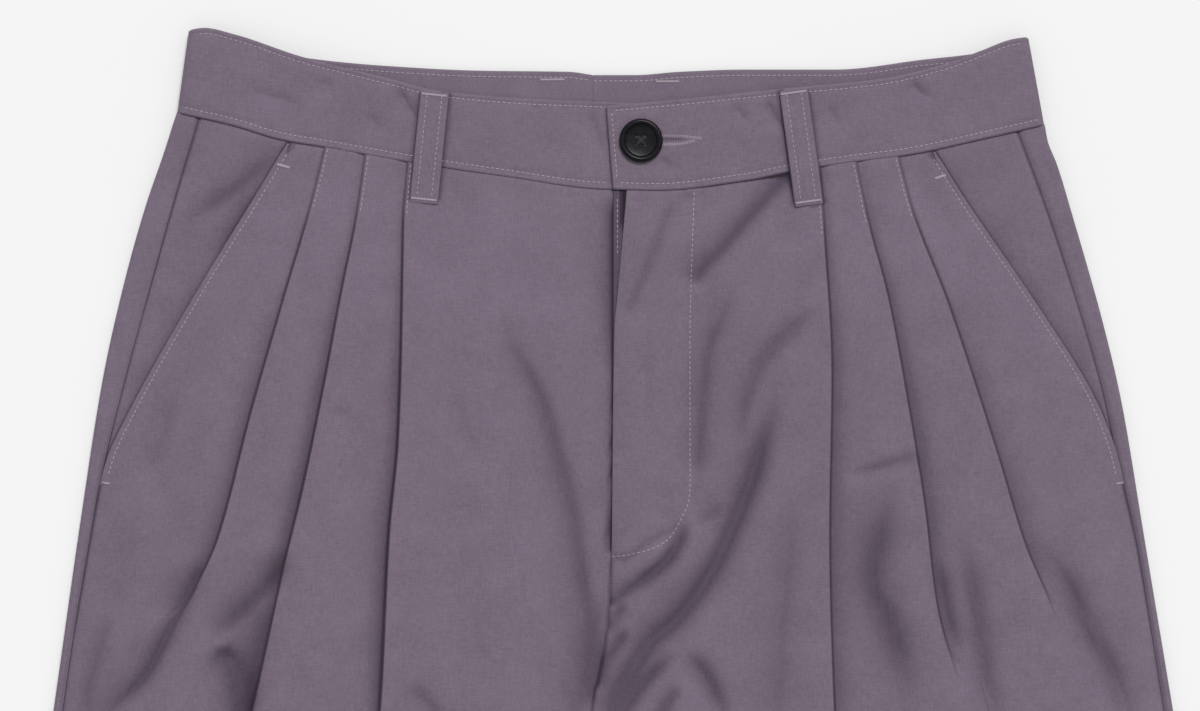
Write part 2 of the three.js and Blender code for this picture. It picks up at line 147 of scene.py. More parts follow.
def joined(limit, above, below):
    """One function above a limit and another below it."""
    return lambda down: np.where(down < limit, above(down), below(down))


def across(parts, heights, part):
    """Height at part of the way across a panel, smooth through heights that are functions of down."""
    parts = np.array(parts, float)

    def at(down):
        values = np.array([height(down) + 0 * down for height in heights])
        steps = np.diff(parts)[:, None]
        tangents = harmonic_tangents(np.diff(values, axis=0) / steps)
        i = int(np.clip(np.searchsorted(parts, part) - 1, 0, len(steps) - 1))
        return cubic(values, tangents, steps, i, (part - parts[i]) / steps[i, 0])

    return at


pleat_depth = through((120, 14), (200, 9), (290, 4), (330, 0), (390, -9), (470, -6), (HEM, -6))
pleat_rise = through((20, 1.5), (60, 1.9), (120, 4), (200, 6), (260, 7.5), (340, 6.5), (480, 3), (HEM, 1.2))
pleat_top = through((20, 6.4), (150, 6.8), (260, 8.2), (340, 7.4), (480, 5), (HEM, 4.4))


class Pleat:
    """A fold along a line; from its end down it opens out into a soft step."""

    OPENING = 32
    OPEN_SPREAD = -9

    def __init__(self, *line, end=HEM):
        self.edge = through(*line)
        self.end = end

    def __call__(self, down):
        return self.edge(down)

    def opened(self, down):
        return smoothstep(down, self.end, self.end + self.OPENING)

    def depth(self, down):
        return lerp(pleat_depth(down), self.OPEN_SPREAD, self.opened(down))

    def rise(self, down):
        return pleat_rise(down) * (1 - 0.95 * self.opened(down))

    def floor(self, down):
        return np.maximum(pleat_top(down) - self.rise(down), level(1))


centre_seam = through((FLY_END, 0.5), (237, 2.5), (252, 5), (266, 8), (CROTCH, 14))
centre_back = through((20, CENTRE_BACK), (FLY_END, CENTRE_BACK), (CROTCH, 14))

OUTER_LEG = ((400, 271), (600, 291), (HEM, 300))
OUTER_SEAM = ((400, 266), (600, 286), (HEM, 296))
MIDDLE_FOLD = ((350, 178), (600, 216), (HEM, 238))
OUTER_FOLD = ((350, 231), (600, 256), (HEM, 270))
right_inseam = through((CROTCH, 14.2), (340, 17), (420, 26), (560, 44), (HEM, 92))
left_inseam = through((CROTCH, -13.8), (340, -6), (420, 6), (560, 30), (HEM, 92))


class Side:
    """The lines of one half of the trousers."""

    def __init__(self, name, sign, **lines):
        self.name = name
        self.sign = sign
        self.__dict__.update(lines)


RIGHT = Side(
    "right",
    -1,
    band_start=(-38, -38),
    band_fold=(191, 196),
    band_top=through(
        (-38, 2), (4, 0), (40, -1.5), (80, -5), (100, -10), (140, -20), (170, -30), (184, -33), (191, -32)
    ),
    front_seam=through(
        (-38, 38), (0, WAIST), (50, 32.5), (90, 26.5), (130, 19.5), (150, 16), (170, 10), (196, 4)
    ),
    back_top=through((9, -12), (20, -13.5), (60, -14), (100, -16), (140, -20), (165, -27), (191, -32)),
    back_seam=through((9, 26), (80, 23), (120, 19), (140, 16), (165, 9.5), (196, 4)),
    band_height=through(
        (-38, level(2)), (30, level(2)), (88, BAND_PLEAT_HEIGHT), (135, BAND_PLEAT_HEIGHT),
        (185, BAND_SIDE_HEIGHT),
    ),
    outline=through(
        (4, 196), (22, 202), (45, 210), (84, 221), (125, 230), (189, 240), (273, 252), *OUTER_LEG
    ),
    side_seam=through(
        (5, 186), (38, 196), (81, 208), (125, 220), (166, 230), (239, 243), (273, 248), *OUTER_SEAM
    ),
    pocket_edge=through((16, 145), (46, 163), (92, 191), (140, 218), (159, 227), (POCKET_END, 230.5)),
    front_centre=joined(
        FLY_END,
        through((WAIST, -10), (110, -10), (197, 0.6)),
        joined(CROTCH, lambda down: centre_seam(down) + 0.15, right_inseam),
    ),
    back_centre=joined(CROTCH, lambda down: centre_back(down) + 0.15, right_inseam),
    pleats=(
        Pleat(
            (26, 92), (54, 94), (100, 94.5), (150, 96), (193, 100), (271, 104), (350, 114), (600, 160),
            (HEM, 196),
        ),
        Pleat(
            (22, 111), (51, 115), (82, 121), (125, 129), (174, 139), (203, 146), (258, 158), *MIDDLE_FOLD,
            end=320,
        ),
        Pleat(
            (19, 129), (48, 136), (90, 148), (139, 162), (196, 177), (212, 184), (243, 200), *OUTER_FOLD,
            end=208,
        ),
    ),
    centre_height=layers((WAIST, 2), (195, 2), (230, FRONT_LAYER), (HEM, FRONT_LAYER)),
    inner_heights=(
        layers((WAIST, 2.1), (90, 2.2), (150, 2.3), (195, 2.1), (240, 2.7), (CROTCH, 2.5), (HEM, 2.4)),
        layers((WAIST, 2.4), (95, 3), (140, 2.3), (185, 3), (CROTCH, 2.7), (HEM, 2.6)),
        layers((WAIST, 3.4), (200, 3.2), (CROTCH, 2.9), (HEM, 2.7)),
    ),
    outer_heights=(
        layers((16, 2.2), (60, 2.5), (150, 2.9), (215, 2.5), (CROTCH, 2.7), (HEM, FRONT_LAYER)),
        layers((16, 3), (100, 3.4), (170, 2.8), (230, 3.1), (CROTCH, 2.6), (HEM, FRONT_LAYER)),
    ),
    held_centre=through((FLY_END - 20, 2), (FLY_END, 0.5), (CROTCH, 14)),
    loop=((-80, -4.5), (-85, 45)),
    low_fold_shade=0.45,
    pleat_shade=0.2,  # painted shade per millimetre that a pleat stands more than 2 above the cloth beyond it
)

LEFT = Side(
    "left",
    1,
    band_start=(-2.5, 0.5),
    band_fold=(187, 194),
    band_top=through(
        (-3, 2), (20, 0), (80, -6), (120, -10), (150, -17), (165, -22.5), (180, -28), (187, -29)
    ),
    front_seam=through(
        (0, WAIST), (20, 39), (60, 34.5), (80, 30.5), (110, 26), (130, 23.5), (170, 15), (194, 9.5)
    ),
    back_top=through(
        (-9, -12), (10, -12), (30, -13.5), (60, -14.5), (100, -14.5), (140, -19), (165, -22), (187, -29)
    ),
    back_seam=through((-9, 26), (60, 24), (100, 22), (130, 19), (170, 12.5), (194, 9.5)),
    band_height=through(
        (-3, level(4)), (60, level(4)), (93, BAND_PLEAT_HEIGHT), (135, BAND_PLEAT_HEIGHT),
        (180, BAND_SIDE_HEIGHT),
    ),
    outline=through(
        (9, 194), (17, 195.5), (28, 200), (51, 207), (96, 220), (134, 229), (181, 237), *OUTER_LEG
    ),
    side_seam=through(
        (12, 182), (38, 192), (86, 208), (131, 221), (164, 228), (198, 236), (218, 239.5), *OUTER_SEAM
    ),
    pocket_edge=through(
        (21, 144), (45, 159), (89, 189), (132, 216), (148, 223), (160, 227), (POCKET_END, 229.5)
    ),
    front_centre=joined(
        FLY_END,
        through((WAIST, 6.5), (54, 5.2), (84, 2.5), (104, 0.8), (FLY_END, -0.3)),
        joined(CROTCH, lambda down: 0.15 - centre_seam(down), left_inseam),
    ),
    back_centre=joined(CROTCH, lambda down: 0.15 - centre_back(down), left_inseam),
    pleats=(
        Pleat((28, 93), (61, 95), (122, 98), (193, 97), (271, 99), (350, 108), (600, 156), (HEM, 196)),
        Pleat(
            (26, 109), (55, 115), (86, 123), (134, 132), (180, 139.5), (225, 145), (262, 155), *MIDDLE_FOLD,
            end=232,
        ),
        Pleat(
            (24, 128), (49, 134.5), (90, 150), (157, 172), (198, 184.5), (223, 195), (267, 211), *OUTER_FOLD,
            end=206,
        ),
    ),
    centre_height=layers((WAIST, 4), (190, 4), (207, 3.1), (230, FRONT_LAYER), (HEM, FRONT_LAYER)),
    inner_heights=(
        layers((WAIST, 4), (190, 4), (225, 3), (250, 2.4), (CROTCH, 2.8), (HEM, FRONT_LAYER)),
        layers((WAIST, 3.4), (190, 3.4), (235, 2.6), (CROTCH, 2.8), (HEM, 2.6)),
        layers((WAIST, 3.2), (205, 3.4), (CROTCH, 2.9), (HEM, 2.7)),
    ),
    outer_heights=(
        layers((21, 2.2), (60, 2.5), (150, 2.9), (215, 2.5), (CROTCH, 2.7), (HEM, FRONT_LAYER)),
        layers((21, 3), (100, 3.4), (170, 2.8), (230, 3.1), (CROTCH, 2.6), (HEM, FRONT_LAYER)),
    ),
    held_centre=through((WAIST, 37), (176, 34), (190, 29), (200, 14), (212, 1), (CROTCH, -13)),
    loop=((81, -5.5), (88, 46)),
    low_fold_shade=0.9,
    pleat_shade=0.06,
)

# ------------------------------
# Creases. Each is a line of (x, down) points with its depth, the widths of its two walls, and the parts
# of its length over which it fades at its start and its end. A negative depth is a ridge.


CREASE_DEPTH = 2.2
UPPER_WALL = 1.2  # the wall of a crease on the side of its width is this much wider
LOWER_WALL = 0.65
CREASE_BOTTOM = 0.9  # radius of the bottom of a crease


class Crease:
    def __init__(self, points, depth, width, fade=(0.35, 0.35), far_width=None):
        self.points = smooth_line(points)
        self.depth = depth
        self.widths = (UPPER_WALL * width, LOWER_WALL * (far_width or width))
        self.fade = fade

    def height(self, x, down):
        """How far the crease moves the cloth up or down."""
        start, end = self.points[:-1], self.points[1:]
        along = end - start
        squared = (along**2).sum(1)
        near = np.full(x.shape, np.inf)
        part = np.zeros(x.shape)
        side = np.zeros(x.shape)
        for i in range(len(start)):
            dx, dy = x - start[i, 0], down - start[i, 1]
            t = np.clip((dx * along[i, 0] + dy * along[i, 1]) / squared[i], 0, 1)
            distance = np.hypot(dx - t * along[i, 0], dy - t * along[i, 1])
            closer = distance < near
            near = np.where(closer, distance, near)
            part = np.where(closer, (i + t) / len(start), part)
            side = np.where(closer, along[i, 0] * dy - along[i, 1] * dx, side)
        width = np.where(side > 0, self.widths[0], self.widths[1])
        shape = np.exp((CREASE_BOTTOM - np.hypot(near, CREASE_BOTTOM)) / width)
        begun = smoothstep(part, 0, max(self.fade[0], 1e-3))
        ended = smoothstep(part, 1 - self.fade[1], 1.001)
        return -CREASE_DEPTH * self.depth * shape * (begun * (1 - ended))


def smooth_line(points, steps=6):
    """The points of a line, with more between them on a smooth curve."""
    p = np.array(points, float)
    if len(p) == 2:
        return np.array([lerp(p[0], p[1], part) for part in np.linspace(0, 1, 9)])
    q = np.vstack([2 * p[0] - p[1], p, 2 * p[-1] - p[-2]])
    line = []
    for a, b, c, d in zip(q, q[1:], q[2:], q[3:]):
        for t in np.arange(steps) / steps:
            bend = (2 * a - 5 * b + 4 * c - d) * t**2 + (3 * b - a - 3 * c + d) * t**3
            line.append(b + ((c - a) * t + bend) / 2)
    line.append(p[-1])
    return np.array(line)


RIGHT_CREASES = (
    # The long one from the front to the crotch, and its faint neighbours.
    Crease(
        [(-52, 94), (-45, 111), (-33, 133), (-24.5, 160), (-18, 185), (-14.5, 210), (-11, 228), (-8, 250),
         (-7, 275)],
        3.2, 4, (0.3, 0.05),
    ),
    Crease([(-76, 122), (-68, 142), (-60, 165)], 0.8, 5),
    Crease([(-7, 222), (-5.5, 236), (-5.5, 252), (-8, 276)], 2, 2, (0.3, 0.2)),
    Crease([(-11, 228), (-11, 245), (-13, 262), (-18, 292)], 2.2, 4.5, (0.5, 0.1)),
    Crease([(-93, 260), (-82, 272), (-74, 290)], 1.8, 3.5),
    # Below the outer pleat, bent out towards the side.
    Crease(
        [(-183, 204), (-188, 216), (-196, 231), (-204, 247), (-212, 260), (-226, 272), (-240, 284)],
        4.2, 4.5, (0.3, 0.3),
    ),
    # Below the middle pleat: the fold opens round a bulge and sinks into a deep hollow.
    Crease(
        [(-146, 200), (-150, 210), (-156, 219), (-164, 227), (-174, 236), (-182, 243)], 3.4, 5, (0.3, 0.35),
    ),
    Crease([(-156, 222), (-160, 240), (-163, 262), (-166, 290)], 2.4, 7),
    Crease([(-178, 244), (-171, 251), (-167, 262), (-166, 277), (-170, 300)], 5, 4.5, (0.15, 0.35)),
    # Between the pocket and the side.
    Crease([(-196, 128), (-203, 150), (-211, 172)], 1.4, 5),
    Crease([(-224, 225), (-232, 247), (-237, 268), (-238, 300)], 2, 4),
    Crease([(-214, 190), (-222, 214), (-226, 236)], 0.9, 6),
    Crease([(-127, 142), (-118, 137)], 0.7, 3),
)

LEFT_CREASES = (
    # On the fly and from the belt loop towards it.
    Crease([(28, 40), (22, 57), (15, 75), (4.5, 98)], 2.2, 2.2, (0.2, 0.1)),
    Crease([(80, 29), (75, 37), (60, 53), (48, 67), (40, 75), (35.5, 83)], 4, 2.6, (0.2, 0.12)),
    Crease([(36, 40), (31, 46)], 0.8, 1.5),
    # Beside the fly's stitching.
    Crease([(56, 77), (47, 99), (42, 113), (40, 130), (38.5, 150), (37.5, 172)], 2.6, 2.8, (0.3, 0.12)),
    Crease([(92, 92), (80, 103), (66, 118), (58.5, 136), (55, 158)], 2.6, 4, (0.3, 0.25)),
    # The long S-shaped fold down to the crotch.
    Crease(
        [(77, 122), (69, 147), (62, 171), (54, 191), (44.5, 211), (31, 230), (17, 243), (8.5, 256), (2, 268),
         (-4, 285)],
        5.6, 4.6, (0.22, 0.1),
    ),
    Crease([(50, 182), (38, 189)], 1.6, 3, (0.4, 0.2)),
    # From the foot of the fly to the centre seam.
    Crease([(33, 189), (30, 197), (23, 207), (13, 215.5), (4, 221), (-1, 226)], 4.6, 1.8, (0.2, 0.02)),
    Crease([(31, 193), (26, 206), (16, 213), (9, 218)], 1.6, 2.4),
    Crease([(5, 224), (1, 232), (-3, 240)], 3.4, 1.6),
    Crease([(7, 237), (1, 245), (-5, 254.5), (-8, 264)], 5, 1.8, (0.25, 0.1)),
    Crease([(29, 246), (17, 258), (8, 269), (1, 284)], 4.4, 2.2),
    Crease([(31, 261), (23, 273), (16, 287)], 3, 2.2),
    Crease([(32, 246), (40, 255), (46, 266), (53, 284)], 3.6, 3),
    # Down the front between the fly and the first pleat.
    Crease([(80, 168), (78, 202), (74, 245), (72, 280), (74, 320)], 1.8, 6),
    # Between and below the pleats.
    Crease([(102, 169), (116, 165), (130, 161), (137, 157)], 1.6, 2.5),
    Crease([(127, 165), (121, 190), (116, 215), (123, 233), (129, 252), (132, 290)], 4.4, 8, (0.3, 0.3), 7),
    Crease([(144.5, 203), (148, 220), (152, 236), (156, 252)], 3, 2.2, (0.3, 0.4)),
    Crease([(153, 187), (160, 214), (163, 236), (168, 264), (176, 300)], 3, 4),
    Crease([(192, 198), (204, 216), (215, 239), (227, 260), (238, 300)], 3.4, 6),
    Crease([(27, 173), (25, 191)], 0.7, 2),
    Crease([(15, 96), (15, 150)], 0.7, 2.5, (0.4, 0.4)),
)

# Soft folds down the legs, alike on both sides: out against down.
LEG_CREASES = (
    ([(60, 330), (95, 420), (120, 520)], 2.2, 9),
    ([(150, 340), (172, 430), (186, 540)], 2, 8),
    ([(225, 380), (236, 470), (262, 560)], 1.8, 9),
    ([(80, 560), (150, 590), (250, 575)], 1.8, 10),
    ([(110, 640), (170, 665), (240, 640)], 1.5, 10),
    ([(120, 760), (135, 860), (140, 950)], 1.6, 12),
    ([(250, 720), (258, 830), (270, 940)], 1.6, 12),
)

BACK_CREASES = (
    ([(30, 120), (80, 200), (150, 250)], 1.3, 8),
    ([(20, 260), (90, 300), (200, 300)], 1.5, 9),
    ([(30, 330), (100, 380), (210, 370)], 1.4, 9),
    ([(120, 560), (180, 600), (250, 580)], 1.2, 10),
    ([(150, 760), (170, 860), (160, 960)], 1.0, 12),
)


def creases_of(shared, side):
    return tuple(Crease([(side.sign * x, d) for x, d in line], depth, w) for line, depth, w in shared)


def stitch_dimple(distance):
    """Stitching draws the cloth down a little on both sides."""
    return -0.35 * np.exp(-((distance / 1.3) ** 2))


def looseness(side, x, down):
    """From 0, held down by a seam or an edge, to 1, free."""
    out = side.sign * x
    from_waist = smoothstep(down - side.front_seam(out), 2, 75)
    from_hem = lerp(0.3, 1, 1 - smoothstep(down, HEM - 240, HEM))
    over_pocket = side.pocket_edge(down) + 12 * (1 - smoothstep(down, 90, POCKET_END))
    edge = np.where(down < POCKET_END, over_pocket, side.side_seam(down))
    from_side = np.sin(np.clip((edge - out) / 55, 0, 1) * math.pi / 2)
    centre = np.where(down < CROTCH, side.held_centre(down), side.front_centre(down))
    from_centre = np.sin(np.clip((out - centre) / 42, 0, 1) * math.pi / 2)
    return from_waist * from_hem * from_side * from_centre


FLY_AIR = 2.6  # the most that the left front stands off the zip


def fly_air(x, down):
    """The left front stands a little off the zip between the fly's edge and its stitching."""
    edge = LEFT.front_centre(down)
    stitched = LEFT.held_centre(down)
    across_fly = np.clip((x - edge) / np.maximum(stitched - edge, 1), 0, 1)
    bulge = FLY_AIR * np.sin(across_fly * math.pi) ** 0.8
    return bulge * smoothstep(down, WAIST + 2, WAIST + 26) * (down < FLY_END)


def front_creases(side, x, down):
    creases = RIGHT_CREASES if side is RIGHT else LEFT_CREASES
    return sum(crease.height(x, down) for crease in (*creases, *creases_of(LEG_CREASES, side)))


def front_air(side, x, down):
    """How far the air inside the leg lifts the front."""
    air = LOOSE * looseness(side, x, down)
    return air + fly_air(x, down) if side is LEFT else air


def back_relief(side, x, down):
    """The back lifts off the surface in a few soft folds."""
    relief = -sum(crease.height(x, down) for crease in creases_of(BACK_CREASES, side))
    return relief * looseness(side, x, down)


# ------------------------------
# Sections. A column is (out, height), both functions of down; a panel is a grid of points
# (x, down, height) whose columns start at the seam above them.

SEAM_ROLL = 2.2  # the cloth rolls down over this distance to a seam
SIDE_ROLL = 1.1  # how far it rolls down to the side seam
SIDE_ROLL_WIDTH = 2
FRONT_WAIST_ROLL = 1.1  # how far a front rolls down to the waist seam
SIDE_WAIST_ROLL = 0.9  # how far the cloth beside it does
BAND_STEP = 0.5
BAND_RISE = 3  # the most that cloth rises to meet the waistband
BAND_REACH = 14  # over this distance
LOWEST_FRONT = 1.75
POCKET_STITCH = 2.6
ZIP_REACH = 28  # the zip lies under the left front out to here


def rows_from_waist():
    near = [0, 0.8, 1.6, 2.4, 3.4, 4.8, 6.6, 8.5]
    close = np.arange(10.5, 262, 2.0)
    leg = 262 + np.linspace(0, 1, 92)[1:] ** 1.25 * (HEM - WAIST - 262)
    return np.concatenate([near, close, leg]) / (HEM - WAIST)


def between(first, last, part):
    """The column at part of the way between two lines, at a height of its own."""
    return lambda down: lerp(first(down), last(down), part)


def panel(columns, seam, parts, sign, bottom=HEM):
    grid = []
    for out, height in columns:
        top = seam(out(np.array(0.0))) + 0.1
        down = lerp(top, bottom, parts)
        grid.append(np.stack([sign * out(down), down, height(down) + lift(down)], 1))
    return np.stack(grid, 1)


def cut_corners(grid):
    """Rounds the rows of a grid by cutting each corner at a quarter of its sides."""
    a, b = grid[:, :-1], grid[:, 1:]
    near, far = lerp(a, b, 0.25), lerp(a, b, 0.75)
    mixed = np.stack([near, far], 2).reshape(len(grid), -1, 3)
    return np.concatenate([grid[:, :1], mixed, grid[:, -1:]], 1)


def inner_edge(centre, height, is_front, count=7):
    """A panel's edge at the inside of the leg: flat above the crotch, a quarter turn below it."""

    def column(part):
        def turn(down):
            low = level(0) if is_front else height(down)
            high = height(down) if is_front else level(FRONT_LAYER)
            radius = (high - low) / 2
            angle = lerp(np.arcsin(0.1 / radius), math.pi / 2, part)
            rise = (low + high) / 2 + (1 if is_front else -1) * radius * np.sin(angle)
            return radius * (1 - np.cos(angle)), rise

        def turned(down):
            return smoothstep(down, CROTCH, CROTCH + CROTCH_TURN)

        def out(down):
            return centre(down) + turn(down)[0] + turned(down) * CLOTH / 2

        return out, lambda down: lerp(height(down) + 0 * down, turn(down)[1], turned(down))

    return [column(part) for part in np.linspace(0, 1, count)]


def pleat_columns(pleat):
    """The corners of a pleat: folded above the hip, spread into a soft step below it."""

    def folded(down):
        return np.maximum(pleat.depth(down), 0)

    def spread(down):
        return np.maximum(-pleat.depth(down), 0)

    def step(down):
        return np.minimum(PITCH, pleat.rise(down) / 2.4)

    return [
        (lambda down: pleat(down) - 2.2, pleat_top),
        (lambda down: pleat(down) - 0.9, pleat_top),
        (pleat, lambda down: pleat_top(down) - 0.1),
        (lambda down: pleat(down) + spread(down) / 3, lambda down: pleat_top(down) - step(down)),
        (
            lambda down: pleat(down) - np.minimum(1.2, folded(down) / 3) + spread(down) / 2,
            lambda down: pleat_top(down) - step(down),
        ),
        (
            lambda down: pleat(down) - folded(down) * 0.94 + spread(down) * 2 / 3,
            lambda down: pleat.floor(down) + step(down),
        ),
        (
            lambda down: pleat(down) - folded(down) + spread(down) * 0.83,
            lambda down: pleat.floor(down) + step(down) / 2,
        ),
        (lambda down: pleat(down) - folded(down) + spread(down) + 0.6, pleat.floor),
    ]


def rising(first, last, low, high, part):
    """Beyond a pleat's edge the cloth climbs out of the fold, steeply at first."""
    steepness = through((30, 9), (110, 6), (200, 3.6), (280, 2.2), (400, 2), (HEM, 2))

    def height(down):
        k = steepness(down)
        climb = (1 - np.exp(-k * part)) / (1 - np.exp(-k))
        return lerp(low(down), high(down), climb)

    return between(first, last, part), height


# Columns of a front between its centre and its first pleat, close together by the centre.
INNER_PARTS = np.concatenate(
    [(0.03, 0.05, 0.07), np.arange(0.08, 0.12, 0.005), np.linspace(0.13, 0.975, 42)]
)
# Columns of a facing: up to 1 tucked under the front, from there to 2 in sight.
FACING_PARTS = np.concatenate(
    [(0, 0.5, 0.9), 1 + np.array((0.003, 0.02, 0.04, 0.07)), np.linspace(1.11, 2, 20)]
)


def front_grid(side):
    seam = side.front_seam
    parts = rows_from_waist()
    edge = joined(POCKET_END, side.pocket_edge, lambda down: side.side_seam(down) - 0.15)
    edge_height = layers((16, 3.4), (160, 3.4), (190, SIDE_LAYER), (HEM, SIDE_LAYER))

    inner_end = lambda down: side.pleats[0](down) - 2.2
    heights = (side.centre_height, *side.inner_heights, pleat_top)
    start = between(side.front_centre, inner_end, 0.02)
    inner = [
        (between(start, inner_end, part), across((0, 0.3, 0.5, 0.75, 1), heights, part))
        for part in INNER_PARTS
    ]
    sections = [panel(inner_edge(side.front_centre, side.centre_height, True), seam, parts, side.sign)]
    sections.append(panel(inner, seam, parts, side.sign))
    for i, fold in enumerate(side.pleats):
        pleat = panel(pleat_columns(fold), seam, parts, side.sign)
        sections.append(cut_corners(pleat))
        first = lambda down, fold=fold: fold(down) + np.maximum(-fold.depth(down), 0) + 1.6
        under = lambda down, fold=fold: fold(down) - fold.depth(down) + 0.8
        hidden = [(between(under, first, part), fold.floor) for part in (0.3, 0.65)]
        hidden += [
            (lambda down, first=first, back=back: first(down) - back, fold.floor) for back in (1.45, 0.9)
        ]
        sections.append(panel(hidden, seam, parts, side.sign))
        if i < 2:
            last = lambda down, fold=side.pleats[i + 1]: fold(down) - 2.2
            columns = [rising(first, last, fold.floor, pleat_top, part) for part in np.linspace(0, 0.93, 13)]
        else:
            heights = (fold.floor, *side.outer_heights, edge_height)
            columns = [
                (between(first, edge, part), across((0, 0.25, 0.72, 1), heights, part))
                for part in np.linspace(0, 1, 30)
            ]
        sections.append(panel(columns, seam, parts, side.sign))
    grid = np.concatenate(sections, 1)
    relieve_front(side, grid)
    return grid


def waist_roll(side, x, down, drop):
    return drop * (1 - smoothstep(down - side.front_seam(side.sign * x), -1, SEAM_ROLL))


def side_roll(distance):
    return SIDE_ROLL * (1 - smoothstep(distance, 0, SIDE_ROLL_WIDTH))


def meet_band(side, x, down, height):
    """How far the cloth below the waistband rises to meet it."""
    out = side.sign * x
    from_seam = down - side.front_seam(out)
    step = side.band_height(out) + lift(down) - BAND_STEP - height
    return np.clip(step, 0, BAND_RISE) * np.exp(-((from_seam / BAND_REACH) ** 2))


def relieve_front(side, grid):
    """Adds creases, stitched dimples and the roll into the waist seam to a front, in place."""
    x, down = grid[:, :, 0], grid[:, :, 1]
    out = side.sign * x
    lowest = np.full(x.shape, LOWEST_FRONT)
    if side is LEFT:
        over_zip = (out < ZIP_REACH) & (down > WAIST + SEAM_ROLL) & (down < FLY_END - 14)
        lowest = np.where(over_zip, level(3) + PITCH + lift(down) - 0.2, lowest)
    lowest = np.minimum(grid[:, :, 2], lowest)
    grid[:, :, 2] += meet_band(side, x, down, grid[:, :, 2])
    loose = grid[:, :, 2] + front_air(side, x, down)
    room = np.maximum(loose - lowest, 0.05)
    dip = -front_creases(side, x, down)
    sunk = np.where(dip > 0, room * (1 - np.exp(-dip / room)), dip)
    pocket = side.pocket_edge(down) - POCKET_STITCH - out
    dimples = stitch_dimple(pocket) * (1 - smoothstep(down, POCKET_END - 20, POCKET_END))
    roll = waist_roll(side, x, down, FRONT_WAIST_ROLL)
    outer_roll = side_roll(side.side_seam(down) - out) * (down > POCKET_END)
    grid[:, :, 2] = np.maximum(loose - sunk + dimples - roll - outer_roll, lowest)


def back_grid(side):
    radius = (level(SIDE_LAYER) - level(0)) / 2
    flat = lambda down: level(0) + 0 * down
    fold = lambda down: side.outline(down) - CLOTH / 2 - radius
    seam_end = lambda down: side.side_seam(down) + 0.15
    parts = rows_from_waist()
    lower = inner_edge(side.back_centre, flat, False)
    start = between(side.back_centre, fold, 0.012)
    lower += [(between(start, fold, part), flat) for part in np.linspace(0.01, 1, 42)]
    upper = []
    for angle in np.linspace(-math.pi / 2, math.pi / 2, 13)[1:]:
        reach, rise = radius * math.cos(angle), radius * (1 + math.sin(angle))
        column = (lambda down, r=reach: fold(down) + r, lambda down, z=rise: level(0) + z + 0 * down)
        (lower if angle < 0 else upper).append(column)
    strip = lambda down: level(SIDE_LAYER) + 0 * down
    upper += [(between(fold, seam_end, part), strip) for part in (0.2, 0.4, 0.6, 0.8, 1)]
    grid = np.concatenate(
        [
            panel(lower, side.back_seam, parts, side.sign),
            panel(upper, side.front_seam, parts, side.sign),
        ],
        1,
    )
    x, down = grid[:, :, 0], grid[:, :, 1]
    grid[:, :, 2] += back_relief(side, x, down) * (grid[:, :, 2] < level(1))
    on_top = grid[:, :, 2] > level(2)
    grid[:, :, 2] += on_top * meet_band(side, x, down, grid[:, :, 2])
    grid[:, :, 2] -= on_top * waist_roll(side, x, down, SIDE_WAIST_ROLL)
    grid[:, :, 2] -= on_top * side_roll(side.sign * x - side.side_seam(down))
    return grid


def facing_grid(side):
    tucked = lambda down: side.pocket_edge(down) - FACING_TUCK
    outer = lambda down: side.side_seam(down) - 0.1

    def line(part):
        if part < 1:
            return between(tucked, side.pocket_edge, part)
        return between(side.pocket_edge, outer, part - 1)

    parts = np.concatenate([[0, 0.006], np.linspace(0.014, 1, 70)])
    columns = [
        (
            line(part),
            lambda down, part=part: level(lerp(2, SIDE_LAYER, part / 2)) + 0 * down,
        )
        for part in FACING_PARTS
    ]
    grid = panel(columns, side.front_seam, parts, side.sign, POCKET_END - 3)
    x, down = grid[:, :, 0], grid[:, :, 1]
    grid[:, :, 2] += meet_band(side, x, down, grid[:, :, 2])
    grid[:, :, 2] -= waist_roll(side, x, down, SIDE_WAIST_ROLL)
    grid[:, :, 2] -= side_roll(side.side_seam(down) - side.sign * x)
    for crease in FACING_CREASES:
        grid[:, :, 2] += crease.height(x, down)
    return grid


FACING_CREASES = (
    Crease([(-148, 21), (-160, 31), (-171, 40), (-183, 48), (-198, 57)], 1.1, 3.2),
    Crease([(-154, 38), (-163, 48), (-170, 60), (-180, 72)], 0.9, 3.2),
)

BAND_CREASES = (
    Crease([(-97, -8), (-93, 0), (-87, 10)], 1.2, 2),
    Crease([(-167, -7), (-152, -2), (-137, 2)], 0.7, 4),
    Crease([(68, -3), (72, 5), (77, 14)], 1.2, 2),
    Crease([(53, 0), (57, 5), (62, 11)], 0.7, 2),
    Crease([(133, -10), (141, -2)], 0.6, 2.5),
    Crease([(96, 0), (102, 12)], 0.6, 2.5),
    Crease([(-110, 4), (-104, 14)], 0.6, 2.5),
    Crease([(18, 17), (33, 16.8)], 0.8, 0.7, (0.1, 0.2)),  # the slit of the buttonhole
    Crease([(-12, 2), (-8, 12), (-5, 26)], 0.7, 2),
    Crease([(133, -12), (138, -5), (146, 0)], 0.5, 2),
    Crease([(-130, -12), (-127, -2)], 0.5, 2.5),
    Crease([(22, 24), (26, 31)], 0.6, 2),
)

BAND_ROWS = 34
FRONT_STATIONS = 170
BAND_TOP_STITCH = 1.9
BAND_SEAM_STITCH = 2.6


